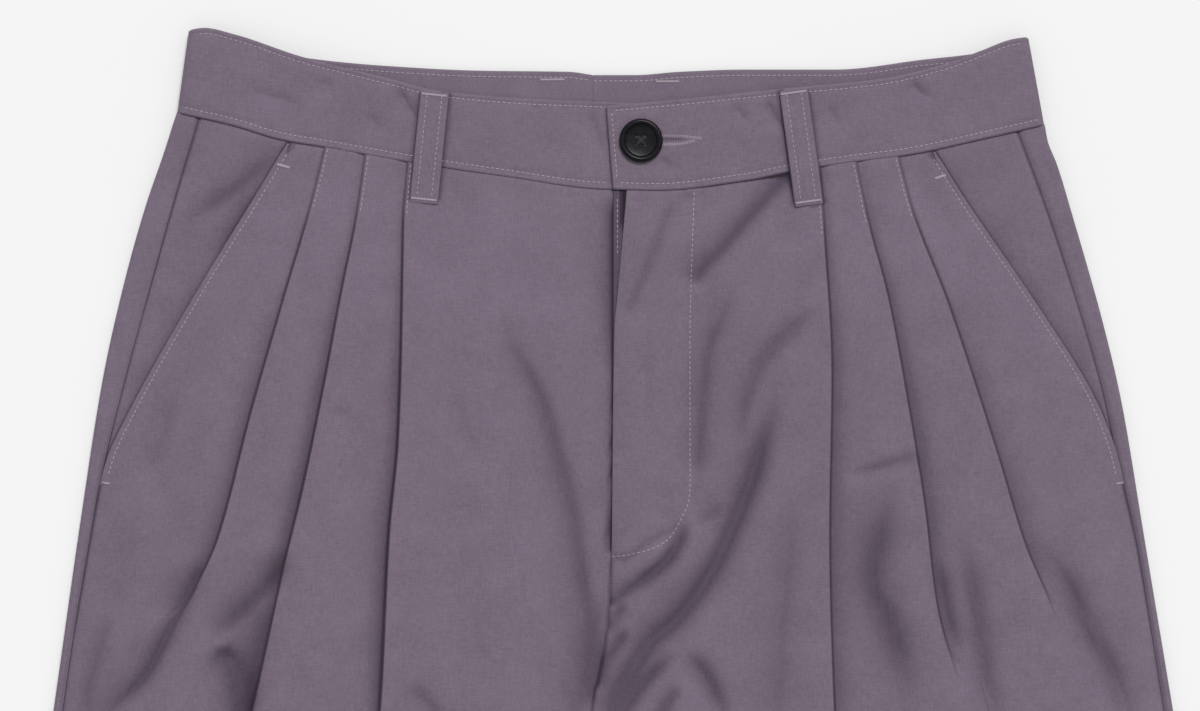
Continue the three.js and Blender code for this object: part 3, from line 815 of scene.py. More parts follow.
def band_grid(side):
    """One half of the waistband, from the centre front round the side to the centre back."""
    radius = (BAND_SIDE_HEIGHT - BAND_BACK_HEIGHT) / 2
    folds = [edge - BAND / 2 - radius for edge in side.band_fold]
    centre = -side.sign * CENTRE_BACK + 0.15
    stations = []
    for part in np.linspace(0, 1, FRONT_STATIONS):
        top, bottom = (lerp(start, end, part) for start, end in zip(side.band_start, folds))
        downs = (side.band_top(top), side.front_seam(bottom))
        stations.append((top, bottom, *downs, side.band_height(top)))
    for angle in np.linspace(math.pi / 2, -math.pi / 2, 13)[1:-1]:
        top, bottom = (edge + radius * math.cos(angle) for edge in folds)
        height = BAND_BACK_HEIGHT + radius * (1 + math.sin(angle))
        stations.append((top, bottom, side.band_top(top), side.front_seam(bottom), height))
    for part in np.linspace(0, 1, 80):
        top, bottom = (lerp(edge, centre, part) for edge in folds)
        stations.append((top, bottom, side.back_top(top), side.back_seam(bottom), BAND_BACK_HEIGHT))
    top, bottom, high, low, height = np.array(stations, float).T
    part = np.linspace(0, 1, BAND_ROWS)[:, None]
    x = side.sign * lerp(top, bottom, part)
    down = lerp(high, low - 0.05, part)
    z = height + lift(down)
    front = np.arange(len(stations)) < FRONT_STATIONS + 6
    by_top = stitch_dimple(down - high - BAND_TOP_STITCH)
    by_seam = stitch_dimple(low - BAND_SEAM_STITCH - down)
    z = z + front * (by_top + by_seam)
    for crease in BAND_CREASES:
        z = z + front * crease.height(x, down)
    return np.stack([x, down, z], 2)


def loop_lines(top, foot):
    """The ends of a belt loop, and the ways along and across it."""
    top, foot = np.array(top, float), np.array(foot, float)
    along = (foot - top) / np.linalg.norm(foot - top)
    return top, foot, along, np.array([along[1], -along[0]])


def loop_grid(top, foot, height, bow, along_steps=44, across_steps=10):
    top, foot, _, across_way = loop_lines(top, foot)
    part = np.linspace(0, 1, along_steps)[:, None]
    side = np.linspace(-0.5, 0.5, across_steps)[None, :]
    x = lerp(top[0], foot[0], part) + side * LOOP_WIDTH * across_way[0]
    down = lerp(top[1], foot[1], part) + side * LOOP_WIDTH * across_way[1]
    dip = stitch_dimple((np.abs(side) - 0.27) * LOOP_WIDTH) * 0.8
    z = height + bow * np.sin(part * math.pi) + dip * (bow > 0)
    return np.stack([x, down, z + 0 * x], 2)


def strip_grid(sides, ends, layer):
    part = np.linspace(0, 1, 74)[:, None]
    x = np.linspace(*sides, 8)[None, :] + 0 * part
    down = lerp(ends[0], ends[1], part) + 0 * x
    return np.stack([x, down, level(layer) + lift(down)], 2)


# ------------------------------
# Meshes.


def to_row_frame(points):
    """(x, down, height) in millimetres to metres in the row frame."""
    p = np.asarray(points, float)
    return np.stack([CENTRE_X + p[..., 0] * MM, WAIST_Y - p[..., 1] * MM, p[..., 2] * MM], -1)


RIM = 0.45  # the last row of cells at an edge is this wide, so that the edge is crisply rounded
RIM_REACH = 0.8  # how far the rounded edge stands out, of half the thickness


def just_inside(edge, following):
    gap = np.linalg.norm(following - edge, axis=-1, keepdims=True)
    return edge + (following - edge) * np.minimum(RIM / np.maximum(gap, 1e-6), 0.5)


def with_rims(grid):
    """The grid with one more line of points just inside each of its four edges."""
    for axis in (0, 1):
        grid = np.moveaxis(grid, axis, 0)
        start, end = just_inside(grid[0], grid[1]), just_inside(grid[-1], grid[-2])
        grid = np.concatenate([grid[:1], start[None], grid[1:-1], end[None], grid[-1:]])
        grid = np.moveaxis(grid, 0, axis)
    return grid


def unit(vectors):
    return vectors / np.maximum(np.linalg.norm(vectors, axis=-1, keepdims=True), 1e-9)


def border_of(rows, cols):
    """Indices round the edge of a grid, in order."""
    top = [(0, c) for c in range(cols - 1)]
    end = [(r, cols - 1) for r in range(rows - 1)]
    bottom = [(rows - 1, c) for c in range(cols - 1, 0, -1)]
    start = [(r, 0) for r in range(rows - 1, 0, -1)]
    return np.array(top + end + bottom + start)


def shell_data(grid, thickness):
    """Vertices and quads of the sheet of cloth whose middle is a grid, with rounded edges."""
    grid = with_rims(grid)
    rows, cols = grid.shape[:2]
    points = to_row_frame(grid)
    down_way = np.gradient(points, axis=0)
    across_way = np.gradient(points, axis=1)
    normal = unit(np.cross(across_way, down_way))
    half = thickness * MM / 2
    count = rows * cols
    ring = border_of(rows, cols)
    r, c = ring[:, 0], ring[:, 1]
    outward = np.zeros((len(ring), 3))
    for way, place, last in ((down_way, r, rows - 1), (across_way, c, cols - 1)):
        outward -= unit(way[r, c]) * (place == 0)[:, None]
        outward += unit(way[r, c]) * (place == last)[:, None]
    rim = points[r, c] + unit(outward) * half * RIM_REACH
    faces = [(points + way * normal * half).reshape(-1, 3) for way in (1, -1)]
    vertices = np.concatenate([*faces, rim])
    index = np.arange(count).reshape(rows, cols)
    a, b, d, e = index[:-1, :-1], index[:-1, 1:], index[1:, 1:], index[1:, :-1]
    upper = np.stack([a, b, d, e], -1).reshape(-1, 4)
    lower = count + upper[:, ::-1]
    edge = index[r, c]
    after = np.roll(edge, -1)
    middle = 2 * count + np.arange(len(ring))
    middle_after = np.roll(middle, -1)
    sides = np.concatenate([
        np.stack([after, edge, middle, middle_after], 1),
        np.stack([middle_after, middle, count + edge, count + after], 1),
    ])
    return vertices, np.concatenate([upper, lower, sides])


def ring_faces(rings, sides):
    """Quads between rings of points, and a cap at each end."""
    faces = []
    for ring in range(rings - 1):
        for i in range(sides):
            a, b = ring * sides + i, ring * sides + (i + 1) % sides
            faces.append((a, a + sides, b + sides, b))
    last = (rings - 1) * sides
    return faces + [tuple(range(sides)), tuple(reversed(range(last, last + sides)))]


def volume_of(vertices, quads):
    a, b, c, d = (vertices[quads[:, i]] for i in range(4))
    first = np.einsum("ij,ij->i", a, np.cross(b, c)).sum()
    return first + np.einsum("ij,ij->i", a, np.cross(c, d)).sum()


def mesh_object(name, vertices, faces, material):
    mesh = bpy.data.meshes.new(name)
    mesh.from_pydata(vertices.tolist(), [], faces.tolist() if hasattr(faces, "tolist") else faces)
    mesh.shade_smooth()
    mesh.materials.append(material)
    made = bpy.data.objects.new(name, mesh)
    bpy.context.scene.collection.objects.link(made)
    return made


def cloth_piece(node, grid, thickness, material):
    """The detailed piece of cloth that stands for a CAD node."""
    vertices, quads = shell_data(grid, thickness)
    if volume_of(vertices, quads) < 0:
        quads = quads[:, ::-1]
    piece = mesh_object(node + "_cloth", vertices, quads, material)
    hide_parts(node)
    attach(piece, "root")
    surface = BVHTree.FromPolygons(vertices.tolist(), quads.tolist())
    return piece, surface


# ------------------------------
# Materials.


def srgb(red, green, blue):
    """An sRGB colour, 0 to 255, as linear RGBA."""
    channels = np.array([red, green, blue]) / 255
    linear = np.where(channels <= 0.04045, channels / 12.92, ((channels + 0.055) / 1.055) ** 2.4)
    return (*linear.tolist(), 1)


def new_material(name, roughness, **inputs):
    material = bpy.data.materials.new(name)
    material.use_nodes = True
    shader = material.node_tree.nodes["Principled BSDF"]
    shader.inputs["Roughness"].default_value = roughness
    for socket, value in inputs.items():
        shader.inputs[socket.replace("_", " ")].default_value = value
    return material, shader


def add_node(material, kind, **settings):
    node = material.node_tree.nodes.new(kind)
    for name, value in settings.items():
        if name in node.inputs:
            node.inputs[name].default_value = value
        else:
            setattr(node, name, value)
    return node


def stretched_noise(material, coordinates, scale, detail=2.0):
    """Noise stretched by a scale along each axis, such as the yarns of a weave."""
    mapping = add_node(material, "ShaderNodeMapping", Scale=scale)
    noise = add_node(material, "ShaderNodeTexNoise", Scale=1.0, Detail=detail, Roughness=0.6)
    links = material.node_tree.links
    links.new(coordinates.outputs["Object"], mapping.inputs["Vector"])
    links.new(mapping.outputs["Vector"], noise.inputs["Vector"])
    return noise.outputs["Fac"]


def mixed_colours(material, factor, first, second, low, high):
    ramp = add_node(material, "ShaderNodeValToRGB")
    ramp.color_ramp.elements[0].position = low
    ramp.color_ramp.elements[1].position = high
    ramp.color_ramp.elements[0].color = first
    ramp.color_ramp.elements[1].color = second
    material.node_tree.links.new(factor, ramp.inputs["Fac"])
    return ramp.outputs["Color"]


def math_node(material, operation, first, second):
    node = add_node(material, "ShaderNodeMath", operation=operation)
    links = material.node_tree.links
    for i, value in enumerate((first, second)):
        if isinstance(value, (int, float)):
            node.inputs[i].default_value = value
        else:
            links.new(value, node.inputs[i])
    return node.outputs[0]


WARP = (2600, 330, 330)  # yarns across and along, per metre
WEFT = (330, 2600, 330)
HOLLOW_SHADE = (0.4, 0.42, 0.38)  # of red, green and blue lost for each 1 of painted shade
DARKEST_HOLLOW = 1.9  # the most painted shade, which leaves about a fifth of the colour
DEEP_HOLLOW = 7  # depth in millimetres of a crease that gets the full painted shade
# How far the painted shade reaches, in millimetres.
PLEAT_SHADE_WIDTH = 5.5
SEAM_SHADE_WIDTH = 1
SIDE_SEAM_WIDTH = 0.45
LOOP_SHADE_WIDTH = 1.6


def add_bump(material, shader, height, strength, distance):
    bump = add_node(material, "ShaderNodeBump", Strength=strength, Distance=distance)
    material.node_tree.links.new(height, bump.inputs["Height"])
    material.node_tree.links.new(bump.outputs["Normal"], shader.inputs["Normal"])


def suiting_material(name, dark, light):
    """Fine plain-weave suiting: warp and weft yarns of uneven thickness, softly mottled, and darkened
    by painted shade that an attribute of the mesh holds."""
    material, shader = new_material(
        name, 0.85, Sheen_Weight=0.1, Sheen_Roughness=0.5, Specular_IOR_Level=0.25
    )
    links = material.node_tree.links
    place = add_node(material, "ShaderNodeTexCoord")
    warp = stretched_noise(material, place, WARP)
    weft = stretched_noise(material, place, WEFT)
    mottle = stretched_noise(material, place, (60, 60, 60), 4.0)
    yarns = math_node(material, "ADD", warp, weft)
    weave_share = math_node(material, "MULTIPLY", yarns, 0.38)
    mottle_share = math_node(material, "MULTIPLY", mottle, 0.24)
    tone = math_node(material, "ADD", weave_share, mottle_share)
    colour = mixed_colours(material, tone, dark, light, 0.35, 0.65)
    # Painted shade from the mesh takes colour away in creases, folds, seams, the fly's gap and beside the
    # belt loops.
    hollow = add_node(material, "ShaderNodeAttribute", attribute_name="hollow").outputs["Fac"]
    lost = add_node(material, "ShaderNodeVectorMath", operation="SCALE")
    lost.inputs[0].default_value = HOLLOW_SHADE
    links.new(hollow, lost.inputs["Scale"])
    kept = add_node(material, "ShaderNodeVectorMath", operation="SUBTRACT")
    kept.inputs[0].default_value = (1, 1, 1)
    links.new(lost.outputs["Vector"], kept.inputs[1])
    shaded = add_node(material, "ShaderNodeVectorMath", operation="MULTIPLY")
    links.new(colour, shaded.inputs[0])
    links.new(kept.outputs["Vector"], shaded.inputs[1])
    links.new(shaded.outputs["Vector"], shader.inputs["Base Color"])
    add_bump(material, shader, yarns, 0.35, 0.00025)
    return material


def grained_material(name, roughness, grain, colours, reach, **inputs):
    """Uneven colour between two shades; grain is the scale of its noise along each axis and its detail."""
    material, shader = new_material(name, roughness, **inputs)
    place = add_node(material, "ShaderNodeTexCoord")
    noise = stretched_noise(material, place, *grain)
    colour = mixed_colours(material, noise, srgb(*colours[0]), srgb(*colours[1]), *reach)
    material.node_tree.links.new(colour, shader.inputs["Base Color"])
    return material, shader, noise


def thread_material(name, dark, light):
    return grained_material(
        name, 0.6, ((4000, 4000, 4000), 1.0), (dark, light), (0.3, 0.7), Sheen_Weight=0.2
    )[0]


def tape_material():
    """Ribbed tape."""
    grain, colours = ((900, 2600, 900), 1.0), ((14, 13, 16), (30, 28, 32))
    material, shader, ribs = grained_material("zip_tape", 0.9, grain, colours, (0.3, 0.7), Sheen_Weight=0.1)
    add_bump(material, shader, ribs, 0.4, 0.0002)
    return material


def resin_material():
    grain, colours = ((260, 420, 260), 5.0), ((13, 12, 16), (25, 23, 29))
    return grained_material("button_resin", 0.3, grain, colours, (0.35, 0.7), Specular_IOR_Level=0.16)[0]


def floor_material():
    grain, colours = ((3, 3, 3), 2.0), ((240, 240, 240), (242, 242, 242))
    return grained_material("floor", 0.95, grain, colours, (0.3, 0.7), Specular_IOR_Level=0.1)[0]


SUITING = suiting_material("suiting", srgb(103, 90, 106), srgb(124, 110, 126))
THREAD_MATERIAL = thread_material("thread", (152, 141, 154), (176, 165, 176))
BUTTON_THREAD = thread_material("button_thread", (12, 11, 14), (24, 22, 27))
TAPE = tape_material()
RESIN = resin_material()

# ------------------------------
# The pieces of cloth.

surfaces = {}


def add_cloth(node, grid, thickness, material=SUITING):
    piece, surface = cloth_piece(node, grid, thickness, material)
    surfaces[node] = surface
    return piece


def add_panels(side):
    name = side.name
    add_cloth("back_" + name, back_grid(side), CLOTH)
    add_cloth("front_" + name, front_grid(side), CLOTH)
    add_cloth(
        "pocket_facing_" + name, facing_grid(side), CLOTH,
    )
    add_cloth("waistband_" + name, band_grid(side), BAND)


def line_shade(distance, width=SEAM_SHADE_WIDTH):
    """A line of painted shade where two pieces of cloth meet, standing in for the shadow in the join."""
    return DARKEST_HOLLOW * np.exp(-((distance / width) ** 2))


def soft_shade(distance, width):
    return np.exp(-np.maximum(distance, 0) / width)


def pleat_shade(pleat, side, out, down):
    """Painted shade: a line in the fold of a pleat, and a band beside it where the pleat stands higher."""
    beyond = out - pleat(down)
    near = np.exp(-((beyond / PLEAT_SHADE_WIDTH) ** 2))
    band = side.pleat_shade * np.maximum(pleat.rise(down) - 2, 0) * near
    strength = through((40, 0.5), (65, 1), (180, 1), (230, side.low_fold_shade))
    return (strength(down) * line_shade(beyond) + band) * (beyond > -0.3) * (1 - pleat.opened(down))


def fly_shade(x, down):
    """Painted shade on the right front beside the edge of the fly, which stands off it at the top."""
    distance = np.minimum(LEFT.front_centre(down), 0.5) - x
    width = lerp(3.4, 1, smoothstep(down, 85, 125))
    shade = line_shade(distance) + DARKEST_HOLLOW * soft_shade(distance - 0.5, width)
    return shade * smoothstep(down, WAIST, WAIST + 14) * (1 - smoothstep(down, FLY_END - 4, FLY_END))


def centre_shade(side, out, down):
    """A line of painted shade along the seam between the fly and the crotch."""
    within = smoothstep(down, FLY_END, FLY_END + 4) * (1 - smoothstep(down, CROTCH - 6, CROTCH))
    return 0.5 * within * line_shade(out - side.front_centre(down))


def loop_shade(side, x, down):
    """Painted shadow on the cloth under and beside the belt loop on a front, at any height."""
    (top_x, top_down), (foot_x, foot_down) = side.loop
    part = (down - top_down) / (foot_down - top_down)
    distance = np.abs(x - lerp(top_x, foot_x, part)) - LOOP_WIDTH / 2
    return 1.5 * np.exp(-((np.maximum(distance, 0) / LOOP_SHADE_WIDTH) ** 2)) * (part > 0) * (part < 1)


def front_shade(side, x, down, height):
    # Painted shade on a front: in its creases, under and beside its belt loop, along its centre seam, in and
    # beside its pleats, beside the fly and along the side seam.
    out = side.sign * x
    shade = 0.85 * np.clip(-front_creases(side, x, down) / DEEP_HOLLOW, 0, 1.2) ** 1.3
    shade += loop_shade(side, x, down) + centre_shade(side, out, down)
    for pleat in side.pleats:
        shade += pleat_shade(pleat, side, out, down)
    if side is RIGHT:
        shade += fly_shade(x, down)
    return shade + line_shade(side.side_seam(down) - out, SIDE_SEAM_WIDTH) * (down > POCKET_END)


def facing_shade(side, x, down, height):
    # Painted shade on a pocket facing: in its creases, along the pocket edge with a soft band beside it, and
    # along the side seam.
    out = side.sign * x
    from_pocket = out - side.pocket_edge(down)
    crease_shade = -sum(crease.height(x, down) for crease in FACING_CREASES) / DEEP_HOLLOW * 2
    shade = np.clip(crease_shade, 0, 1) + line_shade(from_pocket) + 0.5 * soft_shade(from_pocket, 5)
    return shade + line_shade(side.side_seam(down) - out, SIDE_SEAM_WIDTH)


def band_shade(side, x, down, height):
    """The back half of the waistband is painted a little darker, as painted shade from the front. The
    painted shadow of the front's belt loop falls on both halves, so it also marks the outside of the back."""
    back_half_shade = 0.22 * (height < (BAND_BACK_HEIGHT + BAND_SIDE_HEIGHT) / 2)
    return back_half_shade + loop_shade(side, x, down)


def fly_facing_shade(side, x, down, height):
    """Painted shade all over, darkest beyond 3 mm, where it widens the look of the gap beside the zip."""
    # The painted shade is darkest beyond 3 mm, near the top.
    gap = (x > 3) * (1 - smoothstep(down, WAIST + 14, WAIST + 20))
    return 1.1 + gap


def shade_piece(node, side, shade):
    """Stores the painted shade of a piece, for the material of the cloth."""
    mesh = bpy.data.objects[node + "_cloth"].data
    places = np.empty(3 * len(mesh.vertices))
    mesh.vertices.foreach_get("co", places)
    x, y, z = places.reshape(-1, 3).T
    hollow = shade(side, (x - CENTRE_X) / MM, (WAIST_Y - y) / MM, z / MM)
    stored = mesh.attributes.new("hollow", "FLOAT", "POINT")
    stored.data.foreach_set("value", np.clip(hollow, 0, DARKEST_HOLLOW).astype(np.float32))


def shade_half(side):
    shades = (("front", front_shade), ("pocket_facing", facing_shade), ("waistband", band_shade))
    for name, shade in shades:
        shade_piece(name + "_" + side.name, side, shade)


def add_loops(side):
    height = lift(0) + BAND_PLEAT_HEIGHT + BAND / 2 + 0.4 + CLOTH / 2
    add_cloth("loop_front_" + side.name, loop_grid(*side.loop, height, 1.2), CLOTH)
    for place, out in (("back", 26), ("side", 160)):
        top = (side.sign * out, float(side.back_top(out)) + 1)
        foot = (top[0], top[1] + LOOP_LENGTH)
        grid = loop_grid(top, foot, level(0), 0)
        add_cloth("loop_" + place + "_" + side.name, grid, CLOTH)


def add_fly():
    add_cloth(
        "fly_underlap", strip_grid((-10, 38), (42, 198), 1), CLOTH,
    )
    add_cloth(
        "fly_facing", strip_grid((0.5, 4.2), (39.6, 188), 3), CLOTH,
    )
    add_cloth(
        "zip_tape", strip_grid((4.5, 26), (39.6, 188), 3), CLOTH,
        TAPE,
    )


for half in (LEFT, RIGHT):
    add_panels(half)
    shade_half(half)
    add_loops(half)
add_fly()
shade_piece("fly_facing", LEFT, fly_facing_shade)

# ------------------------------
# Stitching. A row of stitches follows a line of (x, down) points on the surface of one piece.

STITCH = 1.5  # length of a stitch
STITCH_PITCH = 2.3
BAR_PITCH = 0.42
THREAD = 0.24  # half the width of the thread
SKY = 0.05  # metres; rows are dropped onto the cloth from here
UNDER_FRONT_BAND = 0.0034  # and the inside of the back of the waistband from here


def unit_stitch(sides=6):
    """A stitch of length 1 along X and radius 1, thinner towards its ends."""
    rings = ((-0.5, 0.3), (-0.38, 0.85), (0, 1), (0.38, 0.85), (0.5, 0.3))
    turns = np.arange(sides) * math.tau / sides
    points = [(x, r * math.cos(a), r * math.sin(a)) for x, r in rings for a in turns]
    return np.array(points), ring_faces(len(rings), sides)


def along_line(points, distances):
    steps = np.hypot(*np.diff(points, axis=0).T)
    length = np.concatenate([[0], np.cumsum(steps)])
    return np.stack([np.interp(distances, length, points[:, i]) for i in (0, 1)], 1)


def length_of(points):
    return float(np.hypot(*np.diff(points, axis=0).T).sum())


class Stitching:
    """Stitches joined into one mesh."""

    def __init__(self, name):
        self.name = name
        self.points = []
        self.faces = []
        self.template = unit_stitch()

    def dropped(self, surface, spot, height):
        """The point of a surface straight under a spot in plan, and its normal."""
        start = Vector(to_row_frame((*spot, 0)))
        start.z = height
        place, normal, _, _ = surface.ray_cast(start, Vector((0, 0, -1)))
        if place is None:
            return None, None
        return np.array(place), np.array(normal)

    def stitch(self, surface, start, end, radius, height=SKY, stand=0.35):
        first, up = self.dropped(surface, start, height)
        last, _ = self.dropped(surface, end, height)
        if first is None or last is None or abs(first[2] - last[2]) > STITCH * MM:
            return
        along = last - first
        length = np.linalg.norm(along)
        along /= length
        up = unit(up - along * (up @ along))
        frame_of = np.stack([along * length, np.cross(up, along) * radius * MM, up * radius * MM * 0.8])
        points, faces = self.template
        base = sum(len(p) for p in self.points)
        self.points.append((first + last) / 2 + up * radius * MM * stand + points @ frame_of)
        self.faces += [tuple(base + i for i in face) for face in faces]

    def row(self, surface, points, height=SKY, pitch=STITCH_PITCH, radius=THREAD):
        points = smooth_line(points) if len(points) > 2 else np.array(points, float)
        for start in np.arange(0.3, length_of(points) - STITCH, pitch):
            first, last = along_line(points, [start, start + STITCH])
            self.stitch(surface, first, last, radius, height)

    def bar(self, surface, start, end, width=1.3, height=SKY):
        """A bartack: threads side by side across a short line."""
        start, end = np.array(start, float), np.array(end, float)
        along = (end - start) / np.linalg.norm(end - start)
        across_way = np.array([-along[1], along[0]]) * width / 2
        for spot in np.arange(0, np.linalg.norm(end - start), BAR_PITCH):
            middle = start + along * spot
            half = across_way + along * 0.15
            self.stitch(surface, middle - half, middle + half, THREAD, height, 0.7)

    def finish(self):
        made = mesh_object(self.name, np.concatenate(self.points), self.faces, THREAD_MATERIAL)
        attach(made, "root")
        return made


def beside(line, offset, start, end, steps, sign):
    """Points beside a line that is out against down."""
    return [(sign * (float(line(d)) + offset), d) for d in np.linspace(start, end, steps)]


def below(line, offset, start, end, steps, sign):
    """Points below a line that is down against out."""
    return [(sign * out, float(line(out)) + offset) for out in np.linspace(start, end, steps)]


def stitch_waistband():
    stitching = Stitching("stitching_waistband")
    for side, first_out in ((LEFT, 0.6), (RIGHT, 2)):
        band = surfaces["waistband_" + side.name]
        last_top, last_seam = side.band_fold[0] - 3, side.band_fold[1] - 3
        stitching.row(band, below(side.band_top, BAND_TOP_STITCH, first_out, last_top, 30, side.sign))
        seam_start = max(first_out, 3)
        stitching.row(band, below(side.front_seam, -BAND_SEAM_STITCH, seam_start, last_seam, 30, side.sign))
        inside = below(side.back_top, 2, 10 * -side.sign + 1, 158, 24, side.sign)
        stitching.row(band, inside, UNDER_FRONT_BAND)
    tab, back = surfaces["waistband_left"], surfaces["waistband_right"]
    stitching.row(tab, [(-0.6, 4.5), (2, 36)])
    stitching.bar(back, (-32.5, -10.6), (-22, -10.7), 1, UNDER_FRONT_BAND)
    stitching.bar(tab, (19.5, -9.8), (30, -9.8), 1, UNDER_FRONT_BAND)
    return stitching


def stitch_buttonhole(stitching):
    """Threads round a slit that runs from the button towards the side."""
    tab = surfaces["waistband_left"]
    for line in ([(20, 14.9), (31, 15.2), (39.5, 16)], [(20, 18.9), (31, 18.4), (37, 16.9)]):
        line = smooth_line(line)
        for distance in np.arange(0, length_of(line), 0.75):
            spot = along_line(line, [distance])[0]
            stitching.stitch(tab, spot - (0.15, 0.75), spot + (0.15, 0.75), 0.2, stand=0.5)


def stitch_loops():
    stitching = Stitching("stitching_loops")
    for side in (LEFT, RIGHT):
        surface = surfaces["loop_front_" + side.name]
        top, foot, along, across_way = loop_lines(*side.loop)
        for offset in (-3.3, 3.3):
            beside_way = across_way * offset
            stitching.row(surface, [top + beside_way + along, foot + beside_way - along * 2], radius=0.2)
        for spot in (top + along * 1.1, foot - along * 1.6):
            stitching.bar(surface, spot - across_way * 5.6, spot + across_way * 5.6, 1)
    return stitching


FLY_STITCH = (
    (36.5, 40), (35.4, 70), (34.6, 100), (34.6, 150), (34.4, 176), (32, 184), (26, 195), (18, 200.3),
    (8, 203), (-1, 204.2),
)

POCKET_TACK = {"right": ((-150.8, 27.7), (-145.5, 29.1)), "left": ((145, 34), (149.5, 32.5))}


def stitch_fronts():
    stitching = Stitching("stitching_fronts")
    for side, ends in ((LEFT, (60, 55, 52)), (RIGHT, (51, 51, 48))):
        front = surfaces["front_" + side.name]
        for fold, end in zip(side.pleats, ends):
            top = float(side.front_seam(float(fold(30)))) + 1.5
            stitching.row(front, beside(fold, -1.3, top, end, 6, side.sign), radius=0.2)
        stitching.row(front, beside(side.pocket_edge, -POCKET_STITCH, 23, 168, 30, side.sign))
        stitching.bar(front, *POCKET_TACK[side.name])
        stitching.bar(front, (side.sign * 226.5, 171.2), (side.sign * 229.5, 170.8), 0.9)
    stitching.row(surfaces["front_left"], FLY_STITCH)
    stitching.row(surfaces["fly_facing"], [(2, 43), (2, 70)], radius=0.18)
    return stitching


def add_stitching():
    waistband = stitch_waistband()
    stitch_buttonhole(waistband)
    for stitching in (waistband, stitch_loops(), stitch_fronts()):
        stitching.finish()


# ------------------------------
# The button.

# (radius, height) from the dished middle over the rim to the underside.
BUTTON_SECTION = (
    (6.2, 1.45), (6.9, 1.6), (7.4, 2.2), (7.9, 2.6), (8.6, 2.72), (9.3, 2.45), (9.7, 2), (9.8, 1.5),
    (9.6, 0.9), (9, 0.35), (7.4, 0),
)
BUTTON_SIDES = 96
BUTTON_HOLE = 0.9  # radius
BUTTON_HOLES = [(x, y) for x in (-1.9, 1.9) for y in (-1.9, 1.9)]


def add_button():
    low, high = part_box("button")
    middle = (low + high) / 2
    angles = [math.tau * i / BUTTON_SIDES for i in range(BUTTON_SIDES)]
    points = [(r * math.cos(a), r * math.sin(a), height) for r, height in BUTTON_SECTION for a in angles]
    placed = np.array(points) * MM + (middle.x, middle.y, low.z)
    faces = ring_faces(len(BUTTON_SECTION), BUTTON_SIDES)
    button = mesh_object("button_resin", placed, faces, RESIN)
    drill_holes(button, middle, low.z)
    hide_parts("button")
    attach(button, "root")
    add_button_thread(middle, low.z)


def drill_holes(button, middle, base):
    """Cuts the four holes through the button."""
    drills = []
    for x, y in BUTTON_HOLES:
        bpy.ops.mesh.primitive_cylinder_add(
            vertices=24,
            radius=BUTTON_HOLE * MM,
            depth=8 * MM,
            location=(middle.x + x * MM, middle.y + y * MM, base),
        )
        drill = bpy.context.object
        cut = button.modifiers.new("hole", "BOOLEAN")
        cut.object = drill
        cut.solver = "EXACT"
        drills.append(drill)
    shape = bpy.data.meshes.new_from_object(button.evaluated_get(bpy.context.evaluated_depsgraph_get()))
    button.modifiers.clear()
    button.data = shape
    shape.shade_smooth()
    shape.set_sharp_from_angle(angle=math.radians(35))
    for drill in drills:
        bpy.data.objects.remove(drill)


def add_button_thread(middle, base):
    """Four strands of thread cross between the holes."""
    points, faces = [], []
    template, template_faces = unit_stitch(8)
    for (x, y), (u, v) in ((BUTTON_HOLES[0], BUTTON_HOLES[3]), (BUTTON_HOLES[1], BUTTON_HOLES[2])):
        for shift in (-0.35, 0.35):
            along = np.array([u - x, v - y, 0.0])
            across_way = unit(np.array([-along[1], along[0], 0]))
            turned = np.stack([along * 1.1, across_way * 0.32, (0, 0, 0.35)])
            spot = np.array([(x + u) / 2, (y + v) / 2, 1.75]) + across_way * shift
            base_index = len(points) * len(template)
            points.append(spot + template @ turned)
            faces += [tuple(base_index + i for i in face) for face in template_faces]
    placed = np.concatenate(points) * MM + (middle.x, middle.y, base)
    thread = mesh_object("button_thread", placed, faces, BUTTON_THREAD)
    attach(thread, "root")


add_stitching()
add_button()

# ------------------------------
# Floor, light and camera.

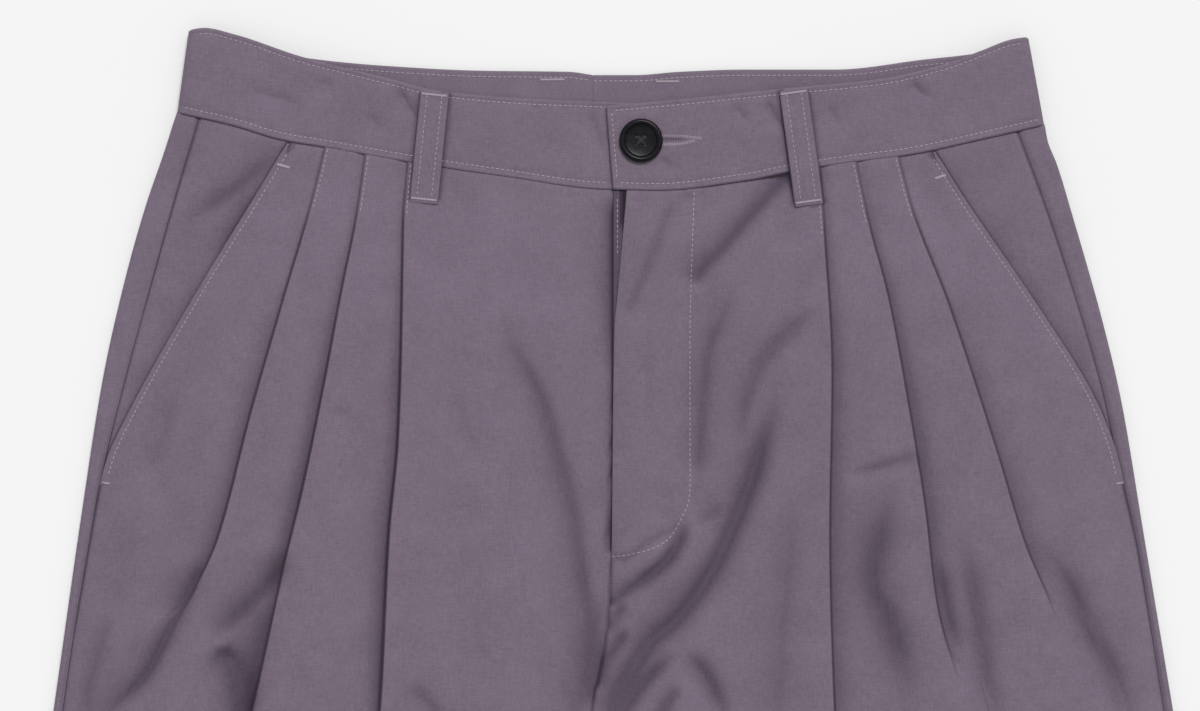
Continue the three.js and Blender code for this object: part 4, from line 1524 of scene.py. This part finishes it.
VIEW_WIDTH = 0.5412  # of the trousers that the camera takes in
CAMERA_HEIGHT = 2.0
SENSOR = 36
CAMERA_PLACE = (-0.00585, -0.1136)  # metres from the top of the centre front
SKY_LIGHT = 0.42
KEY_LIGHT = 0.62
LAMP_WIDTH = 24  # degrees
FLOOR_HALF = 6
FLOOR_DROP = 0.0002


def add_floor():
    corners = np.array([(-1, -1, 0), (1, -1, 0), (1, 1, 0), (-1, 1, 0)], float) * FLOOR_HALF
    floor = mesh_object("floor", corners - (0, 0, FLOOR_DROP), [(0, 1, 2, 3)], floor_material())


def add_lights():
    world = bpy.data.worlds.new("studio")
    world.use_nodes = True
    sky = world.node_tree.nodes["Background"]
    sky.inputs["Color"].default_value = (1, 1, 1, 1)
    sky.inputs["Strength"].default_value = SKY_LIGHT
    bpy.context.scene.world = world
    add_lamp("key", 72, 30, KEY_LIGHT)
    bpy.context.scene.view_settings.view_transform = "Standard"


def add_lamp(name, direction, slant, share):
    """A soft far lamp. Direction is in degrees round from +X and slant in degrees from straight above;
    share is how much of white a level surface gets from it."""
    turn = math.radians(direction)
    slant = math.radians(slant)
    light = bpy.data.lights.new(name, "SUN")
    light.energy = share * math.pi / math.cos(slant)
    light.angle = math.radians(LAMP_WIDTH)
    lamp = bpy.data.objects.new(name, light)
    across_floor = math.sin(slant)
    towards = Vector((math.cos(turn) * across_floor, math.sin(turn) * across_floor, math.cos(slant)))
    lamp.rotation_mode = "QUATERNION"
    lamp.rotation_quaternion = towards.to_track_quat("Z", "Y")
    bpy.context.scene.collection.objects.link(lamp)


def add_camera():
    camera = bpy.data.cameras.new("camera")
    camera.sensor_width = SENSOR
    camera.lens = SENSOR * CAMERA_HEIGHT / VIEW_WIDTH
    holder = bpy.data.objects.new("camera", camera)
    holder.location = (CENTRE_X + CAMERA_PLACE[0], WAIST_Y + CAMERA_PLACE[1], CAMERA_HEIGHT)
    bpy.context.scene.collection.objects.link(holder)
    bpy.context.scene.camera = holder


add_floor()
add_lights()
add_camera()
